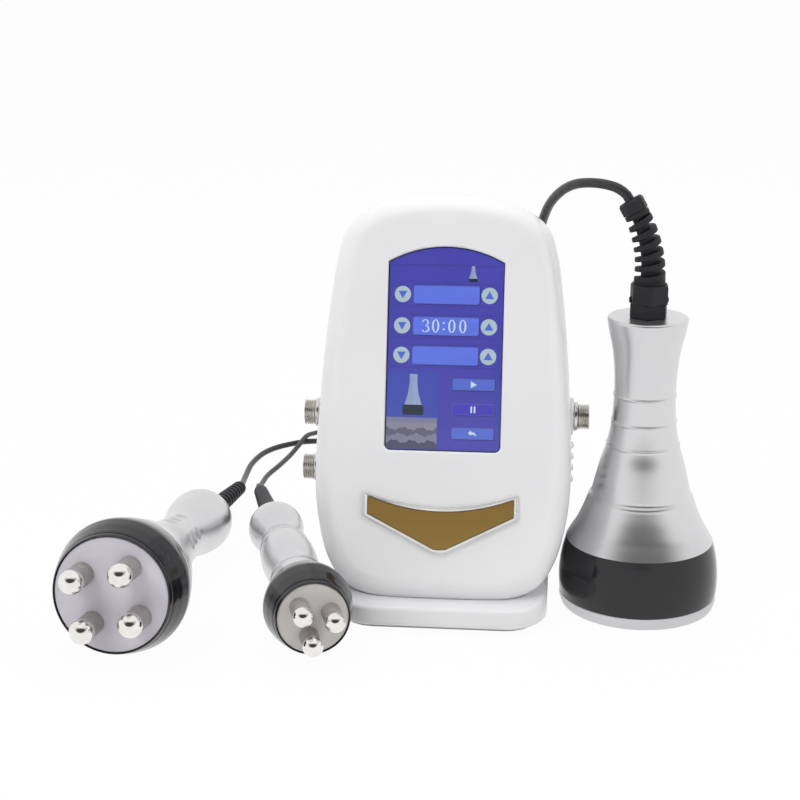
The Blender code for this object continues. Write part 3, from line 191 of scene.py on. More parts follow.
def whole_mesh():
    """Edit mode, with all of the active piece selected."""
    bpy.ops.object.mode_set(mode='EDIT')
    bpy.ops.mesh.select_all(action='SELECT')


def spun(name, profile, sides=64):
    """A piece of round section: its outline of radii and heights is drawn and spun about local Z."""
    piece = ring_of(name, [(radius, 0, height) for radius, height in profile])
    whole_mesh()
    bpy.ops.mesh.spin(steps=sides, angle=2 * pi, center=(0, 0, 0), axis=(0, 0, 1))
    bpy.ops.object.mode_set(mode='OBJECT')
    return tidied(piece)


def drawn_out(name, rings):
    """A solid extruded from a flat outline, ring by ring, each ring shaped as it is drawn."""
    piece = ring_of(name, rings[0], 'NGON')
    whole_mesh()
    for number, ring in enumerate(rings[1:], 1):
        bpy.ops.mesh.extrude_region_move()
        work = bmesh.from_edit_mesh(piece.data)
        work.verts.ensure_lookup_table()
        for k, place in enumerate(ring):
            work.verts[number * len(ring) + k].co = place
        bmesh.update_edit_mesh(piece.data)
    bpy.ops.object.mode_set(mode='OBJECT')
    return tidied(piece)


def carved(piece, tool, way='DIFFERENCE', keep_tool=False):
    """A piece cut by a tool, or joined with it. The tool is used up unless it is kept."""
    cut = piece.modifiers.new("cut", 'BOOLEAN')
    cut.operation = way
    cut.solver = 'EXACT'
    cut.object = tool
    chosen(piece)
    bpy.ops.object.modifier_apply(modifier=cut.name)
    whole_mesh()
    bpy.ops.mesh.remove_doubles(threshold=0.000001)
    bpy.ops.mesh.dissolve_degenerate(threshold=0.000001)
    bpy.ops.object.mode_set(mode='OBJECT')
    if not keep_tool:
        bpy.data.objects.remove(tool, do_unlink=True)
    return piece


def smoothed(piece, angle=32, edge=0.0, segments=2):
    """Sharp edges eased, and smooth shading that leaves flat faces flat."""
    chosen(piece)
    if edge:
        ease = piece.modifiers.new("ease", 'BEVEL')
        ease.width = edge
        ease.segments = segments
        ease.limit_method = 'ANGLE'
        ease.angle_limit = radians(angle)
        bpy.ops.object.modifier_apply(modifier=ease.name)
    bpy.ops.object.shade_smooth_by_angle(angle=radians(angle))
    level = piece.modifiers.new("level", 'WEIGHTED_NORMAL')
    level.keep_sharp = True
    bpy.ops.object.modifier_apply(modifier=level.name)
    return piece


def feed(tree, node, inputs):
    """Gives each of a node's inputs its value, or the output that feeds it."""
    for key, value in inputs.items():
        if isinstance(value, bpy.types.NodeSocket):
            tree.links.new(value, node.inputs[key])
        else:
            node.inputs[key].default_value = value


def fed(tree, kind, inputs, output=0, operation=None, data_type=None):
    """One output of a new node, whose inputs are given a value or another output."""
    node = tree.nodes.new(kind)
    if operation:
        node.operation = operation
    if data_type:
        node.data_type = data_type
    feed(tree, node, inputs)
    return node.outputs[output]


def worked(tree, operation, *values):
    """The outcome of one operation on numbers in a shader's tree."""
    return fed(tree, "ShaderNodeMath", dict(enumerate(values)), 0, operation)


def new_material(name):
    """A material, its tree and its shader."""
    material = bpy.data.materials.new(name)
    material.use_nodes = True
    return material, material.node_tree, material.node_tree.nodes["Principled BSDF"]


def surface_grain_group():
    """Slight patches of tone and gloss, and a fine grain that may be drawn out along one way."""
    group = bpy.data.node_groups.new("surface_grain", 'ShaderNodeTree')
    for way, kind, names in (('INPUT', 'NodeSocketColor', ("Light", "Dark")),
                             ('INPUT', 'NodeSocketFloat', ("Smooth", "Rough", "Patches", "Grain", "Relief")),
                             ('INPUT', 'NodeSocketVector', ("Stretch",)),
                             ('OUTPUT', 'NodeSocketColor', ("Colour",)),
                             ('OUTPUT', 'NodeSocketFloat', ("Roughness",)),
                             ('OUTPUT', 'NodeSocketVector', ("Normal",))):
        for name in names:
            group.interface.new_socket(name=name, in_out=way, socket_type=kind)
    given = group.nodes.new("NodeGroupInput").outputs
    where = fed(group, "ShaderNodeTexCoord", {}, "Object")
    drawn = fed(group, "ShaderNodeVectorMath", {0: where, 1: given["Stretch"]}, operation='MULTIPLY')
    patches = fed(group, "ShaderNodeTexNoise", {"Vector": drawn, "Scale": given["Patches"], "Detail": 4})
    grain = fed(group, "ShaderNodeTexNoise", {"Vector": drawn, "Scale": given["Grain"], "Detail": 2})
    spread = fed(group, "ShaderNodeMapRange", {"Value": patches, "From Min": 0.36, "From Max": 0.64})
    tone = fed(group, "ShaderNodeMix", {"Factor": spread, "A": given["Dark"], "B": given["Light"]}, "Result",
               data_type='RGBA')
    both = worked(group, 'MULTIPLY_ADD', grain, 0.5, worked(group, 'MULTIPLY', spread, 0.5))
    gloss = fed(group, "ShaderNodeMapRange", {"Value": both, "To Min": given["Smooth"],
                                              "To Max": given["Rough"]})
    bump = fed(group, "ShaderNodeBump", {"Height": grain, "Distance": given["Relief"]})
    feed(group, group.nodes.new("NodeGroupOutput"), {"Colour": tone, "Roughness": gloss, "Normal": bump})
    return group


surface_grain = surface_grain_group()


def finish(name, light, dark, smooth, rough, patches=20, grain=900, relief=0.00002, stretch=(1, 1, 1),
           metallic=0.0, coat=0.0, coat_roughness=0.08, ior=1.5):
    """A finish of one substance, with its slight unevenness."""
    material, tree, shader = new_material(name)
    surface = tree.nodes.new("ShaderNodeGroup")
    surface.node_tree = surface_grain
    feed(tree, surface, {"Light": (*light, 1), "Dark": (*dark, 1), "Smooth": smooth, "Rough": rough,
                         "Patches": patches, "Grain": grain, "Relief": relief, "Stretch": stretch})
    feed(tree, shader, {"Metallic": metallic, "Coat Weight": coat, "Coat Roughness": coat_roughness,
                        "IOR": ior, "Base Color": surface.outputs["Colour"],
                        "Roughness": surface.outputs["Roughness"], "Normal": surface.outputs["Normal"]})
    return material


def fitted(piece, material, body, slot, *stands_for):
    """A piece given its finish, its body, and the nodes that it stands for. The slot argument is not used."""
    piece.data.materials.clear()
    piece.data.materials.append(material)
    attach(piece, body)
    if stands_for:
        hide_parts(*stands_for)
    return piece


def lathed(name, profile, sides, angle, places, material, body, slot, *stands_for):
    """A turned piece, smoothed, put in its place and fitted."""
    piece = placed(smoothed(spun(name, profile, sides), angle), *places)
    return fitted(piece, material, body, slot, *stands_for)


def refinished(material, *names):
    """Nodes of the frame that stay, with a finish of their own."""
    for name in names:
        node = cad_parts[name]
        for slot in node.material_slots:
            slot.material = material


right_side = [(housing_half_width * w, housing_height * h)
              for w, h in zip(outline_width_shares, outline_height_shares)]
left_side = [(-x, z) for x, z in reversed(right_side[1:-1])]
housing_outline = [(point.x, point.y)
                   for point in smooth_path([(x, z, 0) for x, z in right_side + left_side], True, 8)]
housing_middle = Matrix.Translation((0, housing_depth / 2, 0))
far = 0.4


def console_form(name, inside=0.0, rounding=housing_rounding, foot=seat_floor_z, fineness=10):
    """The form of the whole console, or one that lies some way inside it, cut off level at its foot."""
    form = moulded_plate(name, housing_outline, housing_depth - 2 * inside, rounding, inside, fineness)
    placed(form, housing_middle, console)
    return carved(form, block("foot_cut", (-far, -far, -far), (far, far, foot)))


hollow = console_form("hollow", wall, housing_rounding - wall, seat_floor_z + wall, 4)
white_plastic = finish("white_moulding", (0.845, 0.845, 0.855), (0.815, 0.815, 0.828), 0.20, 0.28, 14, 1400,
                       0.0000012, coat=0.35, coat_roughness=0.06)
front_cover = console_form("housing_front")
socket_depth = 0.036
socket_places = ((1, 0.1140), (-1, 0.1125), (-1, 0.0784))
pad_radius = 0.0118
pad_reach = 0.0784
pad_edge = 0.0008


def socket_place(side, height, out=0):
    """A place on a socket's axis, some way out from the console's middle, with local Z outwards."""
    middle = Matrix.Translation((side * out, socket_depth, height))
    return console @ middle @ Matrix.Rotation(side * pi / 2, 4, 'Y')


for side, height in socket_places:
    pad = spun("pad", [(0, housing_half_width / 2), (pad_radius, housing_half_width / 2),
                       *arc(pad_radius - pad_edge, pad_reach - pad_edge, pad_edge, 0, pi / 2, 4),
                       (0, pad_reach)], 64)
    carved(front_cover, placed(pad, socket_place(side, height)), 'UNION')
louvre_pitch = 0.0068
louvre_radius = 0.0024
louvre_length = 0.026
louvre_top = 0.0965
louvre_slot = 0.0018
for k in range(4):
    along = console @ Matrix.Translation((housing_half_width - louvre_radius / 2, socket_depth,
                                          louvre_top - k * louvre_pitch)) @ Matrix.Rotation(-pi / 2, 4, 'X')
    capsule = arc(0, louvre_radius - louvre_length / 2, louvre_radius, -pi / 2, 0, 4)
    capsule += [(radius, -height) for radius, height in reversed(capsule)]
    carved(front_cover, placed(spun("louvre", capsule, 24), along), 'UNION')
carved(front_cover, placed(block("behind_seam", (-far, seam_depth, -far), (far, far, far)), console))
carved(front_cover, hollow, keep_tool=True)
for k in range(4):
    slot_z = louvre_top - (k + 0.5) * louvre_pitch
    low = (housing_half_width - 2 * louvre_pitch, socket_depth - louvre_length / 2.4, slot_z - louvre_slot / 2)
    high = (housing_half_width + louvre_pitch, socket_depth + louvre_length / 3, slot_z + louvre_slot / 2)
    carved(front_cover, placed(block("louvre_slot", low, high, louvre_slot / 3, 2), console))
socket_body_radius = 0.0068
for side, height in socket_places:
    hole = spun("socket_hole", [
        (0, housing_half_width / 3), (socket_body_radius + gap, housing_half_width / 3),
        (socket_body_radius + gap, pad_reach + wall), (0, pad_reach + wall)], 48)
    carved(front_cover, placed(hole, socket_place(side, height)))
window_half_width = 0.035
window_bottom = 0.0915
window_corner_height = 0.2053
window_crown_height = 0.2146
window_corner = 0.0036
window_flare = 0.0016


def window_outline(margin, per_corner=8, per_arch=24):
    """The display's outline: straight sides, an arched top with small corners, and rounded bottom corners."""
    half = window_half_width + margin
    bottom = window_bottom - margin
    corner = window_corner + margin
    rise = window_crown_height - window_corner_height
    arch = (window_half_width ** 2 + rise ** 2) / (2 * rise)
    arch_z = window_crown_height - arch
    reach = asin(half / (arch + margin))
    return (arc(0, arch_z, arch + margin, pi / 2 - reach, pi / 2 + reach, per_arch)
            + arc(corner - half, bottom + corner, corner, pi, pi * 3 / 2, per_corner)
            + arc(half - corner, bottom + corner, corner, -pi / 2, 0, per_corner))


rim_steps = 6
rim_rings = [[(x, -far / 100, z) for x, z in window_outline(window_flare)]]
for k in range(rim_steps + 1):
    angle = pi / 2 * k / rim_steps
    rim_rings.append([(x, window_flare * (1 - cos(angle)), z)
                      for x, z in window_outline(window_flare * (1 - sin(angle)))])
rim_rings.append([(x, 2 * wall, z) for x, z in window_outline(0)])
carved(front_cover, placed(drawn_out("window_tool", rim_rings), console))
fitted(smoothed(front_cover), white_plastic, "console", "white_housing", "front_cover")

# Rear cover
# The second shell of the same white plastic. It has openings for the mains inlet and the fan, a fine line
# round its edge where it meets the front cover, and four screws in deep round recesses.
rear_cover = console_form("housing_rear")
carved(rear_cover, placed(block("before_seam", (-far, -far, -far), (far, seam_depth + gap, far)), console))
carved(rear_cover, hollow)
inlet_height = 0.062
inlet_half_width = 0.030
inlet_half_height = 0.0165
inlet_body_inset = 0.003
inlet_opening = block("inlet_opening", (-inlet_half_width + inlet_body_inset - gap, housing_depth - 4 * wall,
                                        inlet_height - inlet_half_height + inlet_body_inset - gap),
                      (inlet_half_width - inlet_body_inset + gap, housing_depth + wall,
                       inlet_height + inlet_half_height - inlet_body_inset + gap))
carved(rear_cover, placed(inlet_opening, console))
fan_height = 0.166
fan_bore = 0.0228


def rear_place(x, height, out=0.0):
    """A place on the rear wall, or some way out from it, with local Z outwards."""
    return console @ Matrix.Translation((x, housing_depth + out, height)) @ Matrix.Rotation(-pi / 2, 4, 'X')


fan_opening = spun("fan_opening", [(0, -2 * wall), (fan_bore, -2 * wall), (fan_bore, wall), (0, wall)], 64)
carved(rear_cover, placed(fan_opening, rear_place(0, fan_height)))
screw_places = ((-0.048, 0.098), (0.048, 0.098), (-0.040, 0.208), (0.040, 0.208))
screw_hole_radius = 0.0042
screw_hole_depth = 0.0016
for x, height in screw_places:
    recess = spun("screw_recess", [(0, -screw_hole_depth), (screw_hole_radius - 0.0003, -screw_hole_depth),
                                   (screw_hole_radius, -0.0004), (screw_hole_radius + 0.0006, wall),
                                   (0, wall)], 40)
    carved(rear_cover, placed(recess, rear_place(x, height)))
fitted(smoothed(rear_cover), white_plastic, "console", "white_housing", "rear_cover")
zinc = finish("screw_zinc", (0.52, 0.52, 0.53), (0.40, 0.40, 0.41), 0.25, 0.42, 300, 4000, 0.000004,
              metallic=1.0)
screw_head_radius = 0.0033
for number, (x, height) in enumerate(screw_places, 1):
    head = [(0, 0.00005), (screw_head_radius, 0.00005), (screw_head_radius, 0.0005)]
    head += [(screw_head_radius * cos(a), 0.0005 + 0.0009 * sin(a)) for a in (pi / 8, pi / 4, pi * 3 / 8)]
    screw = spun("rear_screw_%d" % number, head + [(0, 0.0014)], 32)
    for turn in (0, pi / 2):
        bar = block("cross", (-0.0019, -0.00035, 0.0006), (0.0019, 0.00035, 0.003), 0.0001, 1)
        carved(screw, placed(bar, Matrix.Rotation(turn + number, 4, 'Z')))
    placed(screw, rear_place(x, height, -screw_hole_depth))
    fitted(smoothed(screw), zinc, "console", "connector_nickel")

# Base stand
# A low moulding of the same white plastic with rounded edges. Its top slopes up to the back and is dished,
# so that the foot of the console sits in it. A grey plate with four round rubber feet closes it below.
base_half_width = 0.0655
base_front_y = -0.069
base_back_y = 0.061
base_corner = 0.026
base_rounding = 0.0035
base_front_top = 0.0168
base_back_top = 0.032
base_floor_z = 0.0043
base_lip = 0.0022
foot_radius = 0.0065
foot_x = 0.046
foot_top_z = 0.0017


def rounded_rectangle(half_width, low, high, corner, steps=10, middle=0.0):
    """An outline with four equal rounded corners."""
    outline = []
    for turn, x, y in ((0, half_width - corner, high - corner), (1, -half_width + corner, high - corner),
                       (2, -half_width + corner, low + corner), (3, half_width - corner, low + corner)):
        outline += arc(middle + x, y, corner, pi / 2 * turn, pi / 2 * (turn + 1), steps)
    return outline


base_top = base_back_top + 3 * base_rounding
base_stand = placed(moulded_plate("base_moulding", rounded_rectangle(
    base_half_width, base_front_y, base_back_y, base_corner, 16), base_top - base_floor_z, base_rounding),
    Matrix.Rotation(-pi / 2, 4, 'X'), Matrix.Translation((0, 0, (base_top + base_floor_z) / 2)))
slope = asin((base_back_top - base_front_top) / (base_back_y - base_front_y))
above = placed(block("above_base", (-far, -far, 0), (far, far, far)), Matrix.Rotation(slope, 4, 'X'),
               Matrix.Translation((0, base_front_y, base_front_top)))
smoothed(carved(base_stand, above), 40, base_lip, 4)
carved(base_stand, console_form("console_seat", -gap, foot=seat_floor_z - gap))
fitted(smoothed(base_stand), white_plastic, "console", "white_housing", "base_stand")
grey_plastic = finish("underside_grey", (0.34, 0.34, 0.36), (0.29, 0.29, 0.31), 0.42, 0.58, 40, 1500, 0.00001)
refinished(grey_plastic, "bottom_plate")
rubber = finish("black_rubber", (0.035, 0.035, 0.04), (0.022, 0.022, 0.026), 0.48, 0.66, 60, 1800, 0.000012)
foot_profile = [(0, 0), (0.0050, 0), (0.0055, 0.0002), (0.0060, 0.0008), (foot_radius, 0.0015),
                (foot_radius, foot_top_z), (0, foot_top_z)]
foot_places = ((-foot_x, -0.0495), (foot_x, -0.0495), (foot_x, 0.0415), (-foot_x, 0.0415))
for number, (x, y) in enumerate(foot_places, 1):
    lathed("rubber_foot_%d" % number, foot_profile, 40, 32, (Matrix.Translation((x, y, 0)),), rubber,
           "console", "rubber_black", "foot_%d" % number)

# Display
# A colour touch screen behind clear glass in the arched window. Its lit picture is a violet-blue ground with
# three value rows, a drawing of the working handpiece, and keys for start, pause and return.
glass_margin = 0.0022
glass_front = 0.0028
glass_back = 0.0040
picture_front = 0.0044
picture_back = 0.0045
shadow_front = 0.00436
edge_front = 0.00433
relief_front = 0.0043
mark_front = 0.00424
band_front = 0.0042
row_heights = (0.1857, 0.1668, 0.1490)


def display_plate(name, outline, front=relief_front, back=picture_front):
    """A thin flat shape in the display, between two depths, with a UV map that runs over it once."""
    plate = moulded_plate(name, outline, back - front)
    low_x, low_z = (min(point[k] for point in outline) for k in (0, 1))
    wide, tall = (max(point[k] for point in outline) - low for k, low in ((0, low_x), (1, low_z)))
    over = plate.data.uv_layers.new(name="over")
    for loop, spot in zip(plate.data.loops, over.data):
        corner = plate.data.vertices[loop.vertex_index].co
        spot.uv = ((corner.x - low_x) / wide, (corner.z - low_z) / tall)
    return placed(plate, Matrix.Translation((0, (front + back) / 2, 0)), console)


def mark_plate(name, outline):
    """A thin flat mark that lies on the raised shapes of the picture."""
    return display_plate(name, outline, mark_front, relief_front)


def mirrored(outline, middle):
    """A half outline and its mirror image, both sides of a middle."""
    return [(middle + x, z) for x, z in outline] + [(middle - x, z) for x, z in reversed(outline)]


def as_one(name, plates):
    """Several like shapes as one piece."""
    bpy.ops.object.select_all(action='DESELECT')
    for plate in plates:
        plate.select_set(True)
    bpy.context.view_layer.objects.active = plates[0]
    bpy.ops.object.join()
    plates[0].name = name
    return plates[0]


def shown(piece, material, *stands_for):
    """A piece of the display with its finish."""
    return fitted(piece, material, "console", "screen_glass", *stands_for)


def lit(name, top, bottom, right=None, streaks=0.10, fine=0.0):
    """Backlit colour that runs from a bottom tone to a top one, in faint level streaks."""
    material, tree, shader = new_material(name)
    where = fed(tree, "ShaderNodeTexCoord", {}, "UV")
    up = fed(tree, "ShaderNodeSeparateXYZ", {0: where}, "Y")
    colour = fed(tree, "ShaderNodeMix", {"Factor": up, "A": (*bottom, 1), "B": (*top, 1)}, "Result",
                 data_type='RGBA')
    if right:
        along = fed(tree, "ShaderNodeSeparateXYZ", {0: where}, "X")
        curve = worked(tree, 'POWER', worked(tree, 'MULTIPLY', along, up), 2.2)
        colour = fed(tree, "ShaderNodeMix", {"Factor": curve, "A": colour, "B": (*right, 1)}, "Result",
                     data_type='RGBA')
    level = fed(tree, "ShaderNodeMapping", {"Vector": where, "Scale": (0.6, 9.0, 1.0)})
    streak = fed(tree, "ShaderNodeTexNoise", {"Vector": level, "Scale": 2.4, "Detail": 5})
    shade = fed(tree, "ShaderNodeMapRange", {"Value": streak, "From Min": 0.3, "From Max": 0.7,
                                             "To Min": 1 - streaks, "To Max": 1 + streaks})
    if fine:
        white = (1, 1, 1, 1)
        dots = fed(tree, "ShaderNodeTexBrick", {
            "Vector": where, "Color1": white, "Color2": white, "Mortar": (1 - fine, 1 - fine, 1 - fine, 1),
            "Scale": 24, "Mortar Size": 0.08, "Brick Width": 1.0, "Row Height": 1.0}, "Color")
        dots.node.offset = 0
        shade = worked(tree, 'MULTIPLY', dots, shade)
    shaded = fed(tree, "ShaderNodeVectorMath", {0: colour, "Scale": shade}, operation='SCALE')
    feed(tree, shader, {"Base Color": (0.01, 0.01, 0.02, 1), "Roughness": 0.3, "Emission Strength": 1.0,
                        "Emission Color": shaded})
    return material


def clear_glass(name, tint, roughness):
    """Clear glass with the faintest smear of handling on it."""
    material = finish(name, tint, tuple(0.985 * part for part in tint), roughness, roughness * 2, 30, 600, 0.0,
                      ior=1.45)
    material.node_tree.nodes["Principled BSDF"].inputs["Transmission Weight"].default_value = 1.0
    return material


glass = placed(moulded_plate("display_glass", window_outline(glass_margin), glass_back - glass_front, 0.0002,
                             fineness=2), Matrix.Translation((0, (glass_front + glass_back) / 2, 0)), console)
shown(smoothed(glass), clear_glass("screen_glass_clear", (0.96, 0.97, 0.98), 0.02), "screen_glass")
dark_edge = finish("display_edge_black", (0.012, 0.012, 0.02), (0.008, 0.008, 0.014), 0.5, 0.6, 50, 900)
shown(smoothed(display_plate("display_surround", window_outline(0.0020), picture_back, 0.00458)), dark_edge)
shown(smoothed(display_plate("display_ground", window_outline(-0.0006), picture_front, picture_back)),
      lit("display_ground_blue", (0.082, 0.084, 0.50), (0.060, 0.056, 0.41), (0.070, 0.20, 0.62), 0.16))


def stroke(points, half_widths):
    """The outline of a line drawn through points, with square ends and a half width at each point."""
    left, right = [], []
    for k, ((x, z), half) in enumerate(zip(points, half_widths)):
        before = points[max(k - 1, 0)]
        after = points[min(k + 1, len(points) - 1)]
        run = Vector((after[0] - before[0], after[1] - before[1])).normalized() * half
        left.append((x - run.y, z + run.x))
        right.append((x + run.y, z - run.x))
    return left + right[::-1]


row_left = -0.0208
row_right = 0.0324
row_half_height = 0.0066
row_corner = 0.0016
frame_half_width = 0.00017
corner_x = row_right - row_corner
line_paths = []
for height in row_heights:
    top, foot = height + row_half_height, height - row_half_height - 0.0006
    line_paths.append([(row_left, top), *arc(corner_x, top - row_corner, row_corner, pi / 2, 0, 6),
                       *arc(corner_x, foot + row_corner, row_corner, 0, -pi / 2, 6), (-0.0330, foot)])
line_paths.append([(-0.0338, 0.2034), *arc(0.0312, 0.2020, 0.0014, pi / 2, 0, 6), (0.0326, 0.1955)])
lines = [display_plate("row_line", stroke(path, [frame_half_width] * len(path))) for path in line_paths]
shown(as_one("row_lines", lines), lit("row_line_indigo", (0.045, 0.06, 0.30), (0.035, 0.04, 0.24)))
shadow_shift = 0.0005
edge_wide = 0.0003
edge_tall = 0.0004
shadows, edges, boxes, discs, arrows, keys = [], [], [], [], [], []


def raised_box(name, middle, height, half_width, half_height, corner, inner_corner, steps):
    """A raised flat box of the picture. Its pale edge and its shadow are kept with the others."""
    box = rounded_rectangle(half_width, height - half_height, height + half_height, corner, steps, middle)
    shadow = [(x + shadow_shift, z - shadow_shift) for x, z in box]
    shadows.append(display_plate("box_shadow", shadow, shadow_front))
    edges.append(display_plate("box_edge", box, edge_front, shadow_front))
    return display_plate(name, rounded_rectangle(
        half_width - edge_wide, height - half_height + edge_wide, height + half_height - edge_tall,
        inner_corner, steps, middle), relief_front, edge_front)


disc_x = 0.0262
disc_radius = 0.0049
for height in row_heights:
    boxes.append(raised_box("value_box", 0.0003, height, 0.0200, 0.0056, 0.0015, 0.0013, 6))
    for side in (-1, 1):
        discs.append(display_plate("round_key", round_about(side * disc_x, height, disc_radius, 48)))
        arrows.append(mark_plate("key_arrow", [(side * disc_x + x, height + side * z) for x, z in (
            (-0.0027, -0.0020), (0.0027, -0.0020), (0.0, 0.0027))]))
key_heights = (0.1320, 0.1170, 0.1025)
for height in key_heights:
    keys.append(raised_box("key", 0.0180, height, 0.01275, 0.0035, 0.0007, 0.0006, 4))
shown(as_one("box_shadows", shadows), lit("box_shadow_indigo", (0.030, 0.030, 0.20), (0.020, 0.020, 0.16)))
shown(as_one("box_edges", edges), lit("box_edge_pale", (0.30, 0.48, 0.86), (0.10, 0.12, 0.46)))
shown(as_one("value_boxes", boxes), lit("value_box_blue", (0.105, 0.235, 0.70), (0.115, 0.180, 0.78),
                                        streaks=0.13))
shown(as_one("round_keys", discs), lit("round_key_pale", (0.52, 0.64, 0.66), (0.44, 0.56, 0.60), streaks=0.04))
shown(as_one("key_arrows", arrows), lit("key_arrow_blue", (0.10, 0.19, 0.72), (0.08, 0.15, 0.66)))
shown(as_one("light_keys", [keys[0], keys[2]]), lit("light_key_blue", (0.10, 0.24, 0.72), (0.085, 0.15, 0.62)))
shown(keys[1], lit("pause_key_violet", (0.075, 0.055, 0.56), (0.055, 0.040, 0.48)))
keys[1].name = "pause_key"
mark_x = 0.0179
pause_bar = ((-0.0005, -0.0020), (0.0005, -0.0020), (0.0005, 0.0020), (-0.0005, 0.0020))
mark_outlines = (
    (mark_x, key_heights[0], ((-0.0017, -0.0021), (0.0021, 0), (-0.0017, 0.0021))),
    (mark_x - 0.0010, key_heights[1], pause_bar),
    (mark_x + 0.0010, key_heights[1], pause_bar),
    (mark_x, 0.1026, ((-0.0026, 0.0003), (-0.0008, 0.0020), (-0.0008, 0.0010), (0.0010, 0.0006),
                      (0.0020, -0.0004), (0.0024, -0.0018), (0.0010, -0.0007), (-0.0008, -0.0005),
                      (-0.0008, -0.0014))))
marks = [mark_plate("key_mark", [(middle + x, height + z) for x, z in outline])
         for middle, height, outline in mark_outlines]
pale_light = lit("mark_pale", (0.66, 0.80, 0.84), (0.58, 0.73, 0.80), streaks=0.04)
shown(as_one("key_marks", marks), pale_light)
digit_height = 0.1669
zero_steps = 20
zero_sizes = ((0.0022, 0.0040), (0.0011, 0.0035))
digits = []
for x in (-0.0059, 0.0039, 0.0105):
    for side in (-1, 1):
        outer, inner = ([(x + side * wide * sin(pi * k / zero_steps),
                          digit_height + tall * cos(pi * k / zero_steps)) for k in range(zero_steps + 1)]
                        for wide, tall in zero_sizes)
        digits.append(mark_plate("digit_half", outer + inner[::-1]))
dot_x = -0.0010
dot_radius = 0.0006
for z in (-0.0019, 0.0019):
    digits.append(mark_plate("colon_dot", round_about(dot_x, digit_height + z, dot_radius, 16)))
three_line = ((-0.0138, 0.0022), (-0.0134, 0.0031), (-0.0124, 0.0037), (-0.0112, 0.0034), (-0.0105, 0.0024),
              (-0.0106, 0.0013), (-0.0113, 0.0005), (-0.0121, 0.0002), (-0.0112, -0.0001),
              (-0.0103, -0.0008), (-0.0100, -0.0019), (-0.0105, -0.0030), (-0.0116, -0.0037),
              (-0.0129, -0.0036), (-0.0138, -0.0027))
three_weights = (0.9, 0.6, 0.45, 0.6, 0.95, 0.9, 0.55, 0.4, 0.55, 0.95, 1.1, 0.95, 0.5, 0.5, 0.9)
digits.append(mark_plate("digit_three", stroke([(x, digit_height + z) for x, z in three_line],
                                               [0.0005 * weight for weight in three_weights])))
shown(as_one("time_digits", digits), pale_light)
panel_left = -0.0343
panel_right = -0.0036
panel_low = 0.1114
strip_low = 0.1083
panel = display_plate("handpiece_panel", rounded_rectangle(
    (panel_right - panel_left) / 2, panel_low, 0.1390, 0.0007, 3, (panel_left + panel_right) / 2))
shown(panel, lit("panel_blue", (0.052, 0.062, 0.44), (0.056, 0.085, 0.50), streaks=0.06, fine=0.16))
drawing_x = -0.0184
small_drawing_x = 0.0160
cone = [(0.0052, 0.1190), (0.0044, 0.1215), (0.0034, 0.1250), (0.0027, 0.1290), (0.0023, 0.1330),
        (0.0024, 0.1376)]
small_cone = [(0.0027, 0.1958), (0.0020, 0.1970), (0.0012, 0.2000), (0.0009, 0.2034)]
cones = [mark_plate("drawn_cone", mirrored(outline, middle))
         for middle, outline in ((drawing_x, cone), (small_drawing_x, small_cone))]
shown(as_one("drawn_cones", cones), lit("drawn_silver", (0.36, 0.48, 0.66), (0.30, 0.38, 0.60), streaks=0.3))
bands = [display_plate("drawn_band", rounded_rectangle(*size), band_front, mark_front)
         for size in ((0.0064, 0.1129, 0.1191, 0.0012, 5, drawing_x),
                      (0.0027, 0.1937, 0.1958, 0.0004, 4, small_drawing_x))]
shown(as_one("drawn_bands", bands), lit("drawn_black", (0.020, 0.030, 0.045), (0.012, 0.020, 0.030)))
strip = display_plate("panel_strip", [(panel_left, strip_low), (panel_right, strip_low),
                                      (panel_right, panel_low), (panel_left, panel_low)])
shown(strip, lit("strip_grey", (0.36, 0.37, 0.50), (0.20, 0.20, 0.32), streaks=0.05))
layer_foot = 0.0925
layer_steps = 40
layers = ((strip_low, (0.34, 0.35, 0.44)), (0.1046, (0.17, 0.16, 0.26)), (0.1009, (0.30, 0.30, 0.40)),
          (0.0968, (0.10, 0.09, 0.17)))
for number, (top, tone) in enumerate(layers):
    swell, ripple = (0.0009, 0.0004) if number else (0, 0)
    wave = [(panel_left + (panel_right - panel_left) * k / layer_steps,
             top + swell * sin(k * 0.45 + number * 1.7) + ripple * sin(k * 1.3 + number))
            for k in range(layer_steps + 1)]
    foot = [(panel_left, layer_foot), (panel_right, layer_foot)]
    layer = display_plate("panel_layer_%d" % (number + 1), foot + wave[::-1],
                          relief_front + 0.00002 * (3 - number))
    shown(layer, lit("layer_grey_%d" % (number + 1), tone, tuple(0.7 * part for part in tone), streaks=0.12))
refinished(grey_plastic, "display_module")

# Badge
# A flat shield under the window: a gold-coloured brushed plate, left bare, inside a bright bevelled rim.
badge_half_width = 0.0466
badge_top = 0.0662
badge_side_foot = 0.0515
badge_apex = 0.0295
badge_hollow = 0.0083
badge_rim = 0.0026
badge_rim_height = 0.0016
badge_plate_height = 0.0009
badge_apex_flat = 0.0040
badge_apex_rise = 0.0005


def badge_outline(margin, per_half=12):
    """The badge's outline: hollow top, short upright sides and a blunt point below."""
    half = badge_half_width - margin
    apex = badge_apex + margin
    outline = []
    for k in range(2 * per_half + 1):
        share = k / per_half - 1
        outline.append((-half * share, badge_top - margin - badge_hollow * (1 - share ** 2)))
    outline += [(-half, badge_side_foot + margin / 2), (-badge_apex_flat, apex + badge_apex_rise), (0, apex)]
    return outline + [(badge_apex_flat, apex + badge_apex_rise), (half, badge_side_foot + margin / 2)]


def badge_level(margin, height):
    """The badge's outline at a height above the console's face."""
    return [(x, -gap - height, z) for x, z in badge_outline(margin)]


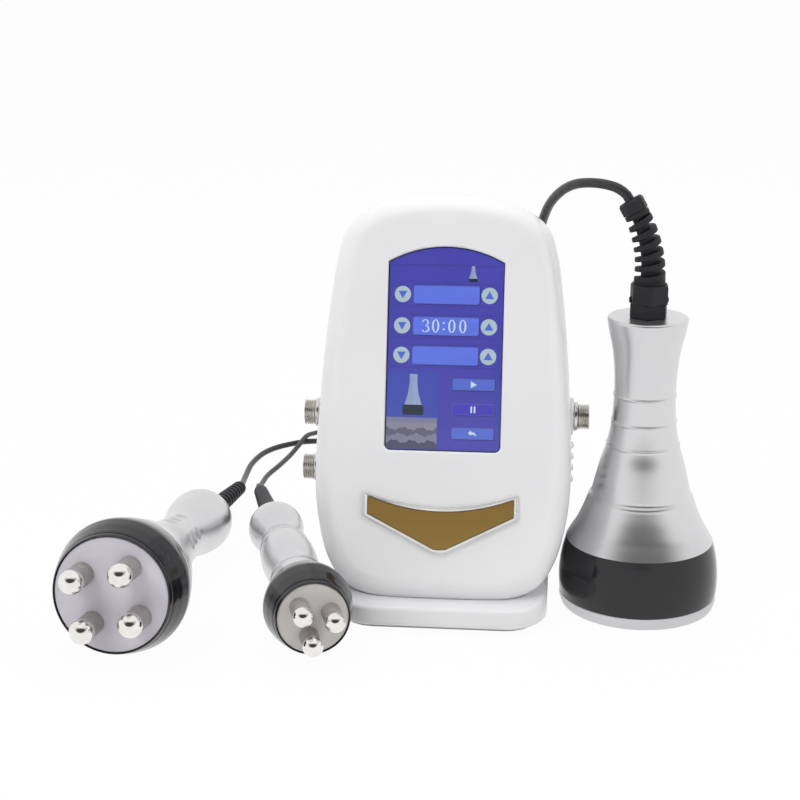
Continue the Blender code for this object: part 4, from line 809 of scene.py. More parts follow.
rim_profile = ((0.0, 0.0), (0.0, 0.0009), (0.00022, 0.0013), (0.0006, badge_rim_height),
               (0.0011, badge_rim_height), (0.0018, 0.00125), (0.0024, 0.0008), (badge_rim, 0.0006),
               (badge_rim, 0.0))
badge_frame = drawn_out("badge_rim", [badge_level(margin, height) for margin, height in rim_profile])
well = drawn_out("badge_well", [badge_level(badge_rim, -badge_rim), badge_level(badge_rim, 2 * badge_rim)])
carved(badge_frame, well)
silver_trim = finish("badge_trim_silver", (0.80, 0.80, 0.78), (0.66, 0.66, 0.65), 0.16, 0.30, 60, 2500,
                     0.000004, metallic=1.0)
smoothed(tidied(badge_frame), 25)
fitted(placed(badge_frame, console), silver_trim, "console", "trim_silver", "badge_frame")
plate_edge = 0.00015
plate_levels = ((badge_rim + gap, 0.0), (badge_rim + gap, badge_plate_height - plate_edge),
                (badge_rim + gap + plate_edge, badge_plate_height))
badge_plate = drawn_out("gold_plate", [badge_level(margin, height) for margin, height in plate_levels])
gold = finish("plate_gold_brushed", (0.42, 0.265, 0.075), (0.30, 0.180, 0.046), 0.34, 0.5, 16, 2600, 0.000006,
              stretch=(0.03, 1, 1), metallic=0.72)
fitted(placed(smoothed(badge_plate), console), gold, "console", "plate_gold", "badge_plate")

# Sockets for the handpiece plugs
# Three round sockets of nickel-plated brass, one on the right and two on the left. Each has a polished flange
# against its pad, a fine outer thread, and a black insert with four gold-plated contact pins.
flange_radius = 0.009
flange_height = 0.0026
thread_radius = 0.0079
thread_root = 0.0070
socket_reach = 0.0094
socket_body_depth = 0.013
socket_bore = 0.0061
insert_face = socket_reach - 0.0085
contact_radius = 0.0007
contact_circle = 0.0033
contact_length = 0.0040
thread_pitch = 0.00125


def threaded(piece, axis_low, axis_high, crest, root, pitch):
    """Rounds the fine rings of a spun piece into a thread that winds about its own Z."""
    for corner in piece.data.vertices:
        x, y, z = corner.co
        radius = (x * x + y * y) ** 0.5
        if axis_low < z < axis_high and radius > root - 0.0001:
            turn = (z / pitch - atan2(y, x) / (2 * pi)) % 1
            deep = abs(2 * turn - 1)
            fade = min(1, (z - axis_low) / pitch, (axis_high - z) / pitch)
            now = crest - (crest - root) * fade * (0.5 - 0.5 * cos(pi * deep))
            corner.co.x = x / radius * now
            corner.co.y = y / radius * now
    return piece


nickel = finish("connector_nickel_plate", (0.72, 0.70, 0.66), (0.56, 0.54, 0.50), 0.14, 0.27, 120, 3000,
                0.000004, metallic=1.0)
gold_pin = finish("contact_gold", (0.83, 0.60, 0.24), (0.66, 0.46, 0.17), 0.2, 0.34, 300, 4000, 0.0,
                  metallic=1.0)
socket_profile = [(socket_bore, -socket_body_depth), (socket_body_radius, -socket_body_depth),
                  (socket_body_radius, 0), (flange_radius - 0.0004, 0), (flange_radius, 0.0004),
                  (flange_radius, flange_height - 0.0007), (flange_radius - 0.0007, flange_height),
                  (thread_root, flange_height)]
thread_steps = 44
socket_profile += [(thread_radius, flange_height + 0.0004 + (socket_reach - flange_height - 0.0006) * k
                    / thread_steps) for k in range(thread_steps + 1)]
socket_profile += [(thread_radius - 0.0007, socket_reach), (socket_bore + 0.0003, socket_reach),
                   (socket_bore, socket_reach - 0.0003)]
for number, (side, height) in enumerate(socket_places, 1):
    mouth = socket_place(side, height, pad_reach + gap)
    socket = threaded(spun("threaded_socket_%d" % number, socket_profile, 72), flange_height + 0.0003,
                      socket_reach - 0.0001, thread_radius, thread_root, thread_pitch)
    fitted(placed(smoothed(socket, 50), mouth), nickel, "console", "connector_nickel", "socket_%d" % number)
    insert_profile = [(0, -socket_body_depth), (socket_bore - gap, -socket_body_depth),
                      (socket_bore - gap, insert_face - 0.0003), (socket_bore - gap - 0.0003, insert_face),
                      (0.0014, insert_face), (0.0012, insert_face - 0.0004), (0, insert_face - 0.0004)]
    insert = spun("contact_insert_%d" % number, insert_profile, 40)
    key = block("insert_key", (0.0046, -0.0008, insert_face - 0.0014), (0.0080, 0.0008, insert_face + gap))
    carved(insert, key)
    fitted(placed(smoothed(insert), mouth), rubber, "console", "rubber_black", "socket_insert_%d" % number)
    pins = []
    for x, y in round_about(0, 0, contact_circle, 4):
        pin = spun("contact", [(0, insert_face - gap), (contact_radius, insert_face - gap),
                               (contact_radius, insert_face + contact_length - 0.0006),
                               (contact_radius * 0.6, insert_face + contact_length - 0.0001),
                               (0, insert_face + contact_length)], 16)
        pins.append(placed(pin, Matrix.Translation((x, y, 0)), mouth))
    fitted(smoothed(as_one("contact_pins_%d" % number, pins), 50), gold_pin, "console", "connector_nickel")

# Mains inlet and fan
# Black moulded inlet with its earth and line blades, fuse drawer and rocker switch, and behind the upper
# opening a small axial fan under a round finger guard of moulded bars.
black_plastic = finish("black_moulding", (0.028, 0.028, 0.031), (0.020, 0.020, 0.023), 0.36, 0.5, 80, 2200,
                       0.000012)
rocker_black = finish("rocker_gloss_black", (0.024, 0.024, 0.026), (0.018, 0.018, 0.020), 0.16, 0.26, 80, 2200,
                      0.000003)
fan_grey = finish("fan_dark_grey", (0.045, 0.045, 0.05), (0.034, 0.034, 0.038), 0.34, 0.48, 80, 2200, 0.00001)
refinished(black_plastic, "mains_inlet", "fuse_drawer", "fan_frame")
refinished(rocker_black, "power_rocker")
refinished(fan_grey, "fan_rotor")
guard_radius = 0.0262
guard_bar = 0.0012
guard_thickness = 0.0016
guard_place = rear_place(0, fan_height, gap)


def guard_ring(middle, half_wide):
    """One flat ring of the guard with rounded edges."""
    ease = 0.0004
    return spun("guard_ring", [(middle - half_wide, 0), (middle + half_wide, 0),
                               (middle + half_wide, guard_thickness - ease),
                               (middle + half_wide - ease, guard_thickness),
                               (middle - half_wide + ease, guard_thickness),
                               (middle - half_wide, guard_thickness - ease)], 72)


guard = guard_ring(guard_radius - guard_bar, guard_bar)
guard.name = "finger_guard"
for share in (0.38, 0.68):
    carved(guard, guard_ring(guard_radius * share, guard_bar), 'UNION')
for turn in (pi / 4, -pi / 4):
    spoke = block("guard_spoke", (-guard_radius + guard_bar, -guard_bar, 0.0004),
                  (guard_radius - guard_bar, guard_bar, 0.0012), 0.0003, 2)
    carved(guard, placed(spoke, Matrix.Rotation(turn, 4, 'Z')), 'UNION')
fitted(placed(smoothed(guard), guard_place), black_plastic, "console", "black_plastic", "fan_guard")

# Boards inside the console
# A green control board on posts behind the display, and a power supply in a folded aluminium cover on the
# rear wall. Both are seen only through the openings.
board_green = finish("board_green_lacquer", (0.02, 0.16, 0.07), (0.012, 0.11, 0.05), 0.25, 0.5, 90, 500,
                     0.00003)
folded_aluminium = finish("folded_aluminium", (0.62, 0.62, 0.63), (0.52, 0.52, 0.54), 0.32, 0.46, 30, 1800,
                          0.000006, stretch=(1, 1, 0.05), metallic=1.0)
refinished(board_green, "control_board")
refinished(folded_aluminium, "power_supply")

# Cavitation handpiece
# It stands on its round aluminium head. A glossy black band joins the head to a hollow satin silver body that
# narrows to a waist, with four turned beads round it, and flares out to its flat top.
cavitation = Matrix.Translation((0.1213, -0.0025, 0))
head_rim_radius = 0.0486
head_rim_z = 0.0077
head_stack_radius = 0.018
head_stack_top = 0.070
band_top_radius = 0.0453
band_bulge = 0.0039
band_inner_radius = 0.0415
band_top_z = 0.0424
body_top_z = 0.184
body_bore = 0.0085
band_side_shares = ((0.82, 0.45), (0.60, 0.82), (0.36, 1.0), (0.12, 0.97))
body_height_shares = (0, 0.035, 0.068, 0.105, 0.145, 0.185, 0.200, 0.214, 0.230, 0.292, 0.360, 0.425, 0.505,
                      0.600, 0.700, 0.800, 0.870, 0.930, 0.985)
body_radius_shares = (1, 0.935, 0.872, 0.818, 0.766, 0.722, 0.707, 0.672, 0.660, 0.614, 0.560, 0.496, 0.445,
                      0.418, 0.413, 0.431, 0.462, 0.506, 0.536)
bead_heights = (0.1355, 0.1190, 0.1045)
bead_rise = 0.0006
bead_half = 0.0010


def beaded(profile, heights, rise, half):
    """The same profile with a small rounded bead at each of some heights."""
    fine = []
    for (r, z), (next_r, next_z) in zip(profile, profile[1:]):
        near = any(min(z, next_z) - half < bead < max(z, next_z) + half for bead in heights)
        steps = max(1, round(4 * abs(next_z - z) / half)) if near else 1
        fine += [(r + (next_r - r) * k / steps, z + (next_z - z) * k / steps) for k in range(steps)]
    return [(r + rise * sum(max(0.0, 1 - ((z - bead) / half) ** 2) for bead in heights), z)
            for r, z in fine + [profile[-1]]]


head_profile = [(0, head_stack_top), (head_stack_radius - 0.001, head_stack_top),
                (head_stack_radius, head_stack_top - 0.001), (head_stack_radius, head_rim_z),
                (head_rim_radius - 0.0004, head_rim_z), (head_rim_radius, head_rim_z - 0.0004),
                (head_rim_radius, 0.0044), (head_rim_radius - 0.0003, 0.0034), (0.0473, 0.0006),
                (0.0469, 0.0001), (0.0463, 0), (0, 0)]
head_metal = finish("head_aluminium_turned", (0.66, 0.66, 0.67), (0.54, 0.54, 0.56), 0.30, 0.44, 10, 1500,
                    0.000005, stretch=(0.4, 0.4, 8), metallic=0.85)
lathed("head_and_stack", head_profile, 128, 32, (cavitation,), head_metal, "cavitation_handpiece",
       "head_aluminium", "cavitation_transducer")
black_gloss = finish("black_gloss_moulding", (0.0115, 0.0110, 0.0135), (0.0085, 0.0082, 0.0105), 0.10, 0.20,
                     30, 1800, 0.000002, coat=0.25, coat_roughness=0.05, ior=1.40)
band_height = band_top_z - head_rim_z
band_knots = [(band_top_radius, band_top_z)]
band_knots += [(band_top_radius + band_bulge * out, head_rim_z + gap + (band_height - gap) * up)
               for up, out in band_side_shares]
band_profile = smooth_profile(band_knots + [(head_rim_radius, head_rim_z + gap)], 8)
band_profile += [(band_inner_radius, head_rim_z + gap), (band_inner_radius, band_top_z)]
lathed("black_band", band_profile, 128, 40, (cavitation,), black_gloss, "cavitation_handpiece", "black_gloss",
       "cavitation_band")
body_foot_z = band_top_z + gap
body_height = body_top_z - body_foot_z
body_outer = smooth_profile([(band_top_radius * wide, body_foot_z + body_height * up)
                             for up, wide in zip(body_height_shares, body_radius_shares)], 10)
top_radius = body_outer[-1][0]
top_ease = body_top_z - body_outer[-1][1]
body_profile = beaded(body_outer, bead_heights, bead_rise, bead_half)
body_profile += [(top_radius + 0.0001, body_top_z - top_ease * 0.6),
                 (top_radius - 0.0003, body_top_z - top_ease * 0.25),
                 (top_radius - 0.0010, body_top_z - top_ease * 0.04), (top_radius - 0.0016, body_top_z),
                 (body_bore, body_top_z), (body_bore, body_top_z - wall)]
body_profile += [(radius - wall, height) for radius, height in body_outer[-14::-12]]
body_profile += [(band_top_radius - wall, body_foot_z)]
silver = finish("silver_satin_paint", (0.70, 0.70, 0.71), (0.61, 0.61, 0.625), 0.24, 0.32, 12, 2600, 0.000004,
                stretch=(1, 1, 0.25), metallic=0.95, coat=0.1, coat_roughness=0.10)
lathed("silver_body", body_profile, 128, 50, (cavitation,), silver, "cavitation_handpiece", "silver_satin",
       "cavitation_shell")

# Cable gland and spiral bend guard
# Matt charcoal nylon: a six-sided foot, a chamfered six-sided nut with two small tabs, a threaded collar,
# and a leaning sleeve with one flat-edged fin wound round it up to a faceted cap, where the cord comes out.
nylon = finish("charcoal_nylon", (0.017, 0.017, 0.021), (0.012, 0.012, 0.015), 0.46, 0.62, 90, 2400, 0.00001,
               ior=1.38)
gland_z = body_top_z + gap
gland_foot_top = gland_z + 0.0078
gland_nut_top = gland_z + 0.0198
gland_top = 0.2101
gland_corner = 0.0121
spigot_radius = body_bore - gap


def six_sided(name, corner, low, high, turn, chamfer_low=0.0, chamfer_high=0.0):
    """A hexagon bar whose end faces are turned to a chamfer, so that its flats end in arcs."""
    corners = round_about(0, 0, corner, 6, turn)
    bar = drawn_out(name, [[(x, y, low) for x, y in corners], [(x, y, high) for x, y in corners]])
    flat = corner * cos(pi / 6) - 0.0002
    lathe = [(0, low - gap), (flat if chamfer_low else corner + 0.001, low - gap),
             (corner + 0.001, low + chamfer_low), (corner + 0.001, high - chamfer_high),
             (flat if chamfer_high else corner + 0.001, high + gap), (0, high + gap)]
    return carved(bar, spun("lathe", lathe, 96), 'INTERSECT')


gland = six_sided("cable_gland", gland_corner, gland_z, gland_foot_top, radians(22.7), 0.0004, 0)
carved(gland, spun("neck", [(0, gland_foot_top - gap), (0.0103, gland_foot_top - gap),
                            (0.0103, gland_foot_top + 0.0006), (0, gland_foot_top + 0.0006)], 48), 'UNION')
nut_turn = radians(35.6)
carved(gland, six_sided("nut", gland_corner, gland_foot_top + 0.0003, gland_nut_top, nut_turn, 0.0002,
                        0.0026), 'UNION')
for turn in (nut_turn - pi / 6, nut_turn + pi * 5 / 6):
    boss = placed(spun("boss", [(0, 0.0095), (0.0020, 0.0095), (0.0020, 0.0111), (0.0018, 0.0115),
                                (0.0013, 0.0118), (0, 0.0118)], 24), Matrix.Rotation(pi / 2, 4, 'Y'),
                  Matrix.Rotation(turn, 4, 'Z'), Matrix.Translation((0, 0, gland_foot_top + 0.0021)))
    carved(gland, boss, 'UNION')
collar = [(0, gland_nut_top - gap), (0.0091, gland_nut_top - gap)]
collar_rings = 6
for k in range(collar_rings):
    low = gland_nut_top + (gland_top - gland_nut_top) * k / collar_rings
    step = (gland_top - gland_nut_top) / collar_rings
    collar += [(0.0095 - 0.0001 * k / 2, low + step * 0.3), (0.0095 - 0.0001 * k / 2, low + step * 0.75),
               (0.0092 - 0.0001 * k / 2, low + step)]
collar_drop = 0.0036
collar_slant = asin(collar_drop / (2 * collar[1][0]))
rising = placed(block("rising_cut", (-far, -far, 0), (far, far, far)), Matrix.Rotation(-collar_slant, 4, 'Y'),
                Matrix.Translation((0, 0, gland_top - collar_drop / 2)))
carved(gland, carved(spun("collar", collar + [(0, gland_top)], 64), rising), 'UNION')
carved(gland, spun("spigot", [(0, body_top_z - 2 * wall), (spigot_radius, body_top_z - 2 * wall),
                              (spigot_radius, gland_z + gap), (0, gland_z + gap)], 48), 'UNION')
fitted(placed(smoothed(gland, 28), cavitation), nylon, "cavitation_handpiece", "rubber_black",
       "cavitation_gland")
guard_length = 0.0432
guard_lean = Vector((-0.0135, 0.0030, 0))


def guard_point(share):
    """A point on the bend guard's own leaning middle line, from 0 at the gland to 1 at the cap's end."""
    return Vector((0, 0, gland_top + gap + guard_length * share)) + guard_lean * share ** 2


def guard_direction(share):
    """The way that the middle line runs at a point."""
    return (Vector((0, 0, guard_length)) + guard_lean * 2 * share).normalized()


def leant(piece):
    """A piece made upright, bent over along the bend guard's middle line."""
    for corner in piece.data.vertices:
        share = corner.co.z / guard_length
        forward = guard_direction(share)
        across = Vector((0, 1, 0)).cross(forward).normalized()
        corner.co = guard_point(share) + across * corner.co.x + forward.cross(across) * corner.co.y
    return piece


cap_low = 0.0332
cap_groove = 0.0359
sleeve_foot_radius = 0.0054
sleeve_top_radius = 0.0040
sleeve_steps = 16
sleeve_profile = [(0, -collar_drop), (sleeve_foot_radius, -collar_drop)]
sleeve_profile += [(sleeve_foot_radius + (sleeve_top_radius - sleeve_foot_radius) * k / sleeve_steps,
                    cap_low * k / sleeve_steps) for k in range(sleeve_steps + 1)]
sleeve_profile += [(0.0072, cap_low + 0.0001), (0.0076, cap_low + 0.0005), (0.0076, cap_groove - 0.0003),
                   (0.0073, cap_groove), (0.0068, cap_groove), (0.0068, cap_groove + 0.0005),
                   (0, cap_groove + 0.0005)]
sleeve = spun("guard_sleeve", sleeve_profile, 48)
cap = [[(x, y, height) for x, y in round_about(0, 0, 0.0079 * scale, 8, 0.2)]
       for scale, height in ((0.96, cap_groove + 0.0004), (1.0, cap_groove + 0.0008),
                             (1.0, guard_length - 0.0012), (0.86, guard_length))]
carved(sleeve, drawn_out("guard_cap", cap), 'UNION')
cord_radius = 0.0030
mouth_radius = cord_radius + 0.0002
carved(sleeve, spun("guard_mouth", [
    (0, guard_length - 0.004), (mouth_radius, guard_length - 0.004), (mouth_radius, guard_length - 0.0008),
    (cord_radius + 0.0012, guard_length + 0.0002), (0, guard_length + 0.0002)], 40))
fitted(placed(leant(smoothed(sleeve, 30)), cavitation), nylon, "cavitation_handpiece", "rubber_black",
       "bend_guard_sleeve")
fin_turns = 5.5
fin_low = -0.0037
fin_rise = cap_low - fin_low - 0.0017
fin_inner = 0.0038
fin_outer = 0.0093
fin_narrowing = 0.0015
fin_section = ((fin_inner, -0.0021), (fin_outer - 0.0004, -0.0016), (fin_outer, -0.0012), (fin_outer, 0.0012),
               (fin_outer - 0.0004, 0.0016), (fin_inner, 0.0021))
fin = ring_of("guard_fin", [(-radius, 0, height + fin_low) for radius, height in fin_section])
winding = fin.modifiers.new("winding", 'SCREW')
winding.axis = 'Z'
winding.angle = 2 * pi * fin_turns
winding.screw_offset = fin_rise
winding.steps = round(36 * fin_turns)
winding.render_steps = winding.steps
winding.use_merge_vertices = False
bpy.ops.object.modifier_apply(modifier=winding.name)
whole_mesh()
bpy.ops.mesh.fill_holes(sides=0)
bpy.ops.object.mode_set(mode='OBJECT')
tidied(fin)
for corner in fin.data.vertices:
    x, y, z = corner.co
    radius = (x * x + y * y) ** 0.5
    narrower = 1 - fin_narrowing / fin_outer * min(1, max(0, z / cap_low)) * (radius > fin_inner + 0.001)
    corner.co.x = x * narrower
    corner.co.y = y * narrower
fitted(placed(leant(smoothed(fin, 30)), cavitation), nylon, "cavitation_handpiece", "rubber_black",
       "bend_guard_spiral")

# Handpieces with ball electrodes
# Two handpieces lie on the table on their black head rings and their tails. Each has a pale insulating face
# with chrome-plated ball electrodes, a moulded grip in satin silver paint, and a rubber bend guard.
chrome = finish("electrode_chrome", (0.86, 0.85, 0.81), (0.80, 0.79, 0.76), 0.035, 0.07, 200, 3000, 0.0,
                metallic=1.0)
face_lavender = finish("face_lavender_grey", (0.70, 0.675, 0.735), (0.64, 0.615, 0.675), 0.34, 0.46, 26, 1600,
                       0.000006)
face_beige = finish("face_beige_grey", (0.69, 0.67, 0.64), (0.62, 0.60, 0.57), 0.34, 0.46, 30, 1600, 0.000006)
post_steel = finish("post_dull_steel", (0.40, 0.375, 0.37), (0.32, 0.30, 0.295), 0.34, 0.48, 200, 2400,
                    0.000004, metallic=0.45)
face_recess = 0.0010
face_thickness = 0.0090
spigot_inset = 0.0040
stem_radius = 0.0024
stem_length = 0.0060
boot_tip = 0.0030
rib_depth = 0.0013
ball_steps = 28
lip_shares = ((0.90, 1.0), (0.84, 0.98), (0.77, 0.93), (0.725, 0.87), (0.715, 0.845))
crease_share = (0.82, 0.825)
dome_shares = ((0.68, 0.805), (0.60, 0.745), (0.40, 0.53), (0.24, 0.36), (0.10, 0.17), (0, 0), (0.14, 0.40),
               (0.40, 0.76), (0.48, 0.90), (0.62, 1.0))


def tube(name, path, radius, fineness=3):
    """A round rod along points that each carry their share of its radius, made a mesh."""
    curve = bpy.data.curves.new(name, 'CURVE')
    curve.dimensions = '3D'
    curve.bevel_depth = radius
    curve.bevel_resolution = fineness
    curve.use_fill_caps = True
    return tidied(curve_mesh(name, curve, path))


def lying_place(place, yaw, ring_radius, bulge_radius, bulge_from_ring):
    """The place and turn of a handpiece's head on the table. Its axis falls to a bulge that lies behind."""
    rise = asin((ring_radius - bulge_radius) / bulge_from_ring)
    axis = Vector((sin(yaw) * cos(rise), -cos(yaw) * cos(rise), sin(rise)))
    across = Vector((cos(yaw), sin(yaw), 0))
    turn = Matrix((across, axis.cross(across), axis)).transposed().to_4x4()
    return Matrix.Translation((*place, ring_radius * cos(rise))) @ turn


def head_ring(name, place, radius, front, back, face_radius, face_back):
    """The black ring round the face, with its front lip, crease, domed side and the face's seat."""
    inwards = face_radius - radius
    inner = face_radius - spigot_inset
    profile = [(radius + inwards * inward, front * forward) for inward, forward in (*lip_shares, crease_share)]
    widest = dome_shares.index((0, 0))
    profile += smooth_profile([(radius + inwards * inward, far_share * (front if k < widest else -back))
                               for k, (inward, far_share) in enumerate(dome_shares)], 6)
    profile += [(inner + gap, -back), (inner + gap, face_back - gap), (face_radius + gap, face_back - gap),
                (face_radius + gap, front - 0.0005), (face_radius + gap + 0.0002, front - 0.0001)]
    lathed(name + "_head_ring", profile, 120, 40, (place,), black_gloss, name + "_handpiece", "black_gloss",
           name + "_ring")


def face_and_electrodes(name, place, radius, front, back, face_finish, pins):
    """The face plate with its holes, and on each of them a dull post that carries a polished ball."""
    pin_circle, first_angle, pin_count, ball_radius, post_radius, pin_length = pins
    body = name + "_handpiece"
    edge = 0.0006
    face = spun(name + "_face_plate", [
        (0, back), (radius, back), (radius, front - edge), (radius - edge * 0.3, front - edge * 0.3),
        (radius - edge, front), (0, front)], 96)
    spots = []
    hole = [(0, front - stem_length - gap), (stem_radius + gap, front - stem_length - gap),
            (stem_radius + gap, front + gap), (0, front + gap)]
    for x, y in round_about(0, 0, pin_circle, pin_count, first_angle):
        spots.append(Matrix.Translation((x, y, 0)))
        carved(face, placed(spun("pin_hole", hole, 32), spots[-1]))
    fitted(placed(smoothed(face), place), face_finish, body, "face_grey", name + "_face")
    ball_middle = front + gap + pin_length
    last_angle = pi - asin(post_radius * 0.93 / ball_radius)
    ball = arc(0, ball_middle, ball_radius, pi / 2, pi / 2 - last_angle, ball_steps)
    ball[0] = (0, ball_middle + ball_radius)
    neck_z = ball[-1][1]
    ball += [(stem_radius, neck_z), (stem_radius, front - stem_length), (0, front - stem_length)]
    post = [(stem_radius + gap / 3, neck_z - gap / 3), (post_radius - 0.0006, neck_z - gap / 3),
            (post_radius - 0.0002, neck_z - 0.0003), (post_radius, neck_z - 0.0007),
            (post_radius, front + gap / 3), (stem_radius + gap / 3, front + gap / 3)]
    for number, spot in enumerate(spots, 1):
        lathed("%s_ball_%d" % (name, number), ball, 48, 40, (spot, place), chrome, body, "electrode_steel",
               "%s_electrode_%d" % (name, number))
        lathed("%s_post_%d" % (name, number), post, 48, 40, (spot, place), post_steel, body, "electrode_steel")


def bend_guard(name, place, grip_length, length, radius, ribs, cord_radius):
    """A tapered rubber sleeve behind the grip, ribbed or plain. Gives the cord's exit and its way there."""
    top = -grip_length - gap
    tip = cord_radius + boot_tip
    profile = [(0, top), (radius - 0.0003, top), (radius, top - 0.0003)]
    pitch = length * 0.90 / max(ribs, 1)
    for k in range(ribs):
        low = top - length * 0.05 - pitch * k
        outer = radius + (tip - radius) * (k + 0.5) / ribs
        root = outer - rib_depth
        profile += [(outer, low), (outer, low - pitch * 0.46), (outer - 0.0003, low - pitch * 0.52),
                    (root, low - pitch * 0.58), (root, low - pitch * 0.92),
                    (outer - 0.0004, low - pitch * 0.97)]
    profile += [(tip, top - length * 0.97), (tip - 0.0003, top - length), (0, top - length)]
    lathed(name + "_boot", profile, 48, 35, (place,), nylon, name + "_handpiece", "rubber_black",
           name + "_bend_guard")
    exit_point = place @ Vector((0, 0, -grip_length - length - 2 * gap))
    return exit_point, -(place.to_3x3() @ Vector((0, 0, 1)))


def lying_handpiece(name, place, ring, face_radius, face_finish, pins, length, grip_shares, grip_beads=()):
    """Ring, face, electrodes and grip about one axis. The grip's line is in shares of its length and ring."""
    ring_radius, ring_front, ring_back, neck_share = ring
    face_front = ring_front - face_recess
    face_back = face_front - face_thickness
    inner = face_radius - spigot_inset
    head_ring(name, place, ring_radius, ring_front, ring_back, face_radius, face_back)
    face_and_electrodes(name, place, face_radius, face_front, face_back, face_finish, pins)
    grip = [(ring_radius * neck_share, -ring_back - gap)]
    grip += [(ring_radius * share, -length * along) for along, share in grip_shares]
    grip = beaded(smooth_profile(grip, 8), [-length * along for along in grip_beads], bead_rise, bead_half)
    grip += [(0, -length), (0, face_back - 2 * gap), (inner, face_back - 2 * gap), (inner, -ring_back - gap)]
    lathed(name + "_silver_grip", grip, 112, 40, (place,), silver, name + "_handpiece", "silver_satin",
           name + "_grip")


multipolar_length = 0.182
multipolar_ring_radius = 0.0405
multipolar_cord_radius = 0.00215
multipolar_place = lying_place((-0.1816, -0.1053), radians(-4.7), multipolar_ring_radius,
                               bulge_radius=0.0210, bulge_from_ring=0.1721)
lying_handpiece(
    "multipolar", multipolar_place, ring=(multipolar_ring_radius, 0.0200, 0.0175, 0.855), face_radius=0.0342,
    face_finish=face_lavender, pins=(0.0207, radians(-33.5), 4, 0.0073, 0.0069, 0.0173),
    length=multipolar_length,
    grip_shares=((0.1830, 0.800), (0.2621, 0.690), (0.3659, 0.555), (0.4615, 0.465), (0.5604, 0.412),
                 (0.6319, 0.395), (0.6813, 0.407), (0.7308, 0.442), (0.7802, 0.487), (0.8297, 0.517),
                 (0.8791, 0.528), (0.9231, 0.490), (0.9505, 0.415), (0.9725, 0.325), (0.9890, 0.240),
                 (1.0000, 0.180)))
ridge_radius = 0.0018
ridge_sink = 0.0009
ridge_bow = 0.0016
ridge_steps = 12
ridges = []
for first, last, places in ((4, 42, ((0.4396, 0.4857), (0.5055, 0.4395), (0.5714, 0.4095))),
                            (66, 96, ((0.456, 0.4690), (0.522, 0.4300), (0.588, 0.4040)))):
    for along, share in places:
        crest = []
        out = multipolar_ring_radius * share - ridge_sink
        for k in range(ridge_steps + 1):
            angle = radians(first + (last - first) * k / ridge_steps)
            swell = sin(pi * k / ridge_steps)
            height = -multipolar_length * along - ridge_bow * swell
            crest.append((Vector((out * cos(angle), out * sin(angle), height)), 0.25 + 0.75 * swell ** 0.5))
        ridges.append(tube("ridge", crest, ridge_radius))
fitted(placed(smoothed(as_one("grip_ridges", ridges), 60), multipolar_place), silver, "multipolar_handpiece",
       "silver_satin")
multipolar_exit = bend_guard("multipolar", multipolar_place, multipolar_length, length=0.078, radius=0.0072,
                             ribs=10, cord_radius=multipolar_cord_radius)
tripolar_length = 0.168
tripolar_ring_radius = 0.0266
tripolar_cord_radius = 0.0019
tripolar_place = lying_place((-0.0740, -0.0934), radians(16.5), tripolar_ring_radius,
                             bulge_radius=0.0184, bulge_from_ring=0.1710)
lying_handpiece(
    "tripolar", tripolar_place, ring=(tripolar_ring_radius, 0.0208, 0.0150, 0.800), face_radius=0.0210,
    face_finish=face_beige, pins=(0.0109, radians(16), 3, 0.0061, 0.0057, 0.0163), length=tripolar_length,
    grip_shares=((0.1786, 0.700), (0.2619, 0.635), (0.3452, 0.617), (0.4286, 0.639), (0.5119, 0.650),
                 (0.5833, 0.620), (0.6429, 0.564), (0.6905, 0.504), (0.7262, 0.485), (0.7619, 0.519),
                 (0.8095, 0.609), (0.8512, 0.665), (0.8929, 0.684), (0.9345, 0.632), (0.9643, 0.515),
                 (0.9821, 0.387), (1.0000, 0.267)), grip_beads=(0.25, 0.619, 0.714))
tripolar_exit = bend_guard("tripolar", tripolar_place, tripolar_length, length=0.070, radius=0.0071, ribs=0,
                           cord_radius=tripolar_cord_radius)

# Cords and plugs
# Each handpiece has a round black cord. It runs behind the console, where the photograph shows no more of it,
# and its stored length lies there in one neat coil that ends in a metal plug with a knurled coupling ring.
cord_black = finish("cord_black_vinyl", (0.030, 0.030, 0.033), (0.022, 0.022, 0.025), 0.30, 0.42, 70, 1500,
                    0.000006, ior=1.46)
coil_step_gap = 0.0006
knurls = 30
knurl_root_share = 0.969
knurl_radius = 0.0094
plug_rest = knurl_radius + 0.0003
ring_low = 0.0253
ring_high = 0.0393
ring_profile = [(0.0075, ring_low), (0.0088, ring_low), (0.0092, ring_low + 0.0004),
                (0.0092, ring_low + 0.0012), (knurl_radius, ring_low + 0.0014),
                (knurl_radius, ring_high - 0.0034), (0.0092, ring_high - 0.0032), (0.0090, ring_high - 0.0030),
                (0.0090, ring_high - 0.0006), (0.0086, ring_high), (0.0075, ring_high)]
plug_profile = [(0, 0), (0.0046, 0), (0.0053, 0.0004), (0.0055, 0.0010), (0.0055, 0.0076), (0.0058, 0.0090),
                (0.0072, 0.0107), (0.0078, 0.0115), (0.0080, 0.0123), (0.0080, 0.0150), (0.0076, 0.0152),
                (0.0076, 0.0160), (0.0080, 0.0162), (0.0080, 0.0244), (0.0076, 0.0250), (0.0069, 0.0250),
                (0.0069, 0.0406), (0.0067, 0.0410), (0.0061, 0.0410), (0.0061, 0.0426), (0.0057, 0.0430),
                (0.0052, 0.0430), (0.0052, 0.0372), (0, 0.0372)]


